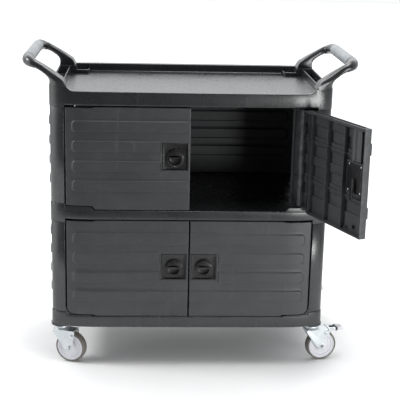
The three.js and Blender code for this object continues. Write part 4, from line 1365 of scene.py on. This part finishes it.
def zinc_look():
    """Bright zinc plate: a faint blue cast, soft cloudy spangle and fine drawing lines."""
    look = Look("zinc_plate")
    spangle = look.voronoi(120.0)
    cloud = look.noise(45.0, 5.0, 0.6)
    tone = look.mix(look.spread(cloud, 0.3, 0.7), (0.49, 0.53, 0.55), (0.63, 0.66, 0.67))
    tone = look.mix(look.spread(spangle, 0.0, 0.7, 0.0, 0.25), tone, (0.57, 0.61, 0.66))
    stains = look.patches(24.0, 6.0, 0.62, 0.74, 0.0, 0.35, roughness=0.7)
    tone = look.mix(stains, tone, (0.42, 0.41, 0.38))
    drawn = look.noise(90.0, 3.0, 0.6, look.stretched((1.0, 1.0, 12.0)))
    rough = look.spread(drawn, 0.3, 0.7, 0.30, 0.46)
    look.bump([(drawn, 0.00008), (look.noise(300.0, 3.0), 0.00006)])
    return look.finish(tone, rough, Metallic=0.65)


def steel_look():
    look = Look("plain_steel")
    cloud = look.noise(80.0, 5.0, 0.6)
    tone = look.mix(look.spread(cloud, 0.3, 0.7), (0.40, 0.41, 0.43), (0.56, 0.57, 0.59))
    turned = look.noise(160.0, 2.0, 0.5, look.stretched((1.0, 1.0, 8.0)))
    rough = look.spread(turned, 0.3, 0.7, 0.26, 0.42)
    look.bump([(turned, 0.00006)])
    return look.finish(tone, rough, Metallic=1.0)


def hub_look():
    look = Look("hub_nylon")
    tone = look.mix(look.patches(22.0, 4.0, 0.3, 0.7), (0.57, 0.57, 0.61), (0.66, 0.66, 0.70))
    dust = look.patches(60.0, 6.0, 0.56, 0.78, 0.0, 0.4, roughness=0.7)
    tone = look.mix(dust, tone, (0.46, 0.45, 0.44))
    rough = look.patches(40.0, 4.0, 0.3, 0.7, 0.36, 0.52)
    look.bump([(look.noise(500.0, 2.0), 0.00006)])
    return look.finish(tone, rough)


def tyre_look():
    look = Look("tyre_rubber")
    tone = look.mix(look.patches(20.0, 5.0, 0.3, 0.7), (0.105, 0.10, 0.09), (0.16, 0.15, 0.13))
    dust = look.patches(75.0, 6.0, 0.5, 0.72, 0.0, 0.55, roughness=0.7)
    tone = look.mix(dust, tone, (0.24, 0.225, 0.20))
    rough = look.patches(55.0, 4.0, 0.3, 0.7, 0.62, 0.85)
    look.bump([(look.noise(420.0, 3.0), 0.0002), (look.noise(60.0, 3.0), 0.0004)])
    return look.finish(tone, rough)


def pin_look():
    """Oiled black steel of the hinge pins and the brake springs."""
    look = Look("black_steel")
    cloud = look.patches(90.0, 5.0, 0.3, 0.7, roughness=0.6)
    tone = look.mix(cloud, (0.018, 0.019, 0.020), (0.042, 0.043, 0.045))
    rough = look.patches(150.0, 3.0, 0.3, 0.7, 0.34, 0.52)
    look.bump([(look.noise(600.0, 2.0), 0.00004)])
    return look.finish(tone, rough, Metallic=0.5)


def make_looks():
    return {
        "shell": moulded_plastic("shell_plastic", (0.0098, 0.0113, 0.0123), (0.0145, 0.0165, 0.0177),
                                 roughness=0.27, pebble=0.000012, wear=0.12, specular=0.66),
        "panel": moulded_plastic("panel_plastic", (0.0275, 0.030, 0.0325), (0.0355, 0.038, 0.041),
                                 roughness=0.42, pebble=0.00012, wear=0.55, specular=0.45),
        "lock": moulded_plastic("lock_plastic", (0.008, 0.008, 0.009), (0.013, 0.013, 0.014),
                                roughness=0.24, pebble=0.00004, wear=0.3, specular=0.5),
        "grip": grip_look(),
        "zinc": zinc_look(),
        "steel": steel_look(),
        "pin": pin_look(),
        "hub": hub_look(),
        "tyre": tyre_look(),
    }


# ---- Stage ----------------------------------------------------------------------
def make_floor():
    mesh = bpy.data.meshes.new("floor")
    # The floor ends a little way in front of the cart, so the upper bands mirror the dim world instead.
    size, front = 14.0, -1.35
    mesh.from_pydata([(x, y, 0) for x, y in rect(-size, size, front, size)], [], [[0, 1, 2, 3]])
    floor = bpy.data.objects.new("floor", mesh)
    bpy.context.scene.collection.objects.link(floor)
    look = Look("pale_floor")
    tone = look.mix(look.patches(1.5, 4.0, 0.3, 0.7), (0.86, 0.86, 0.86), (0.90, 0.90, 0.90))
    rough = look.patches(8.0, 4.0, 0.3, 0.7, 0.75, 0.9)
    mesh.materials.append(look.finish(tone, rough))


def area_light(name, place, target, size, power):
    light = bpy.data.lights.new(name, "AREA")
    light.shape = "RECTANGLE"
    light.size, light.size_y = size
    light.energy = power
    obj = bpy.data.objects.new(name, light)
    obj.location = place
    obj.visible_camera = False
    obj.rotation_euler = (Vector(target) - Vector(place)).to_track_quat("-Z", "Y").to_euler()
    bpy.context.scene.collection.objects.link(obj)


def make_light():
    """A pale studio: bright behind, above and at the sides, dim in front of the doors."""
    scene = bpy.context.scene
    scene.view_settings.view_transform = "Standard"
    world = bpy.data.worlds.new("studio")
    world.use_nodes = True
    nodes, links = world.node_tree.nodes, world.node_tree.links
    direction = nodes.new("ShaderNodeTexCoord").outputs["Generated"]
    split = nodes.new("ShaderNodeSeparateXYZ")
    links.new(direction, split.inputs["Vector"])
    depth = nodes.new("ShaderNodeMapRange")
    depth.interpolation_type = "SMOOTHSTEP"
    for key, v in (("From Min", -0.85), ("From Max", 0.45), ("To Min", 0.16), ("To Max", 1.02)):
        depth.inputs[key].default_value = v
    links.new(split.outputs["Y"], depth.inputs["Value"])
    seen = nodes.new("ShaderNodeMix")
    seen.inputs["B"].default_value = 1.0
    links.new(nodes.new("ShaderNodeLightPath").outputs["Is Camera Ray"], seen.inputs["Factor"])
    links.new(depth.outputs["Result"], seen.inputs["A"])
    background = nodes["Background"]
    background.inputs["Color"].default_value = (0.97, 0.985, 1.0, 1.0)
    links.new(seen.outputs["Result"], background.inputs["Strength"])
    scene.world = world
    area_light("top_box", (0.35, -0.15, 3.4), (0.2, -0.15, 0.0), (2.4, 1.0), 64)
    area_light("far_box", (0.0, 8.0, 4.8), (0.0, 8.0, 0.0), (16.0, 9.0), 700)
    area_light("right_strip", (1.78, -2.62, 0.38), (0.36, -0.26, 0.87), (2.0, 0.48), 58)
    area_light("left_lamp", (-2.69, -0.12, 2.3), (-0.34, -0.27, 0.7), (0.7, 0.7), 42)
    area_light("left_box", (-2.7, -0.65, 1.35), (-0.4, -0.65, 1.35), (1.8, 2.6), 21)


def make_camera():
    yaw, pitch, roll = math.radians(3.08), math.radians(15.22), 0.02234
    ahead = Vector((math.sin(yaw) * math.cos(pitch), math.cos(yaw) * math.cos(pitch), -math.sin(pitch)))
    right = Vector((math.cos(yaw), -math.sin(yaw), 0))
    up = right.cross(ahead)
    turned_right = math.cos(roll) * right + math.sin(roll) * up
    turned_up = -math.sin(roll) * right + math.cos(roll) * up
    data = bpy.data.cameras.new("camera")
    data.sensor_width = 36.0
    data.lens = 36.0 * 1079.7 / 400
    camera = bpy.data.objects.new("camera", data)
    camera.matrix_world = Matrix.Translation(Vector((-0.1421, -3.4694, 1.4239))) @ Matrix(
        (turned_right, turned_up, -ahead)).transposed().to_4x4()
    bpy.context.scene.collection.objects.link(camera)
    bpy.context.scene.camera = camera


# ---- Build ----------------------------------------------------------------------
make_camera()
make_light()
make_floor()
LOOKS = make_looks()
make_shelves()
make_posts()
make_panels()
make_doors()
make_handles()
make_casters()
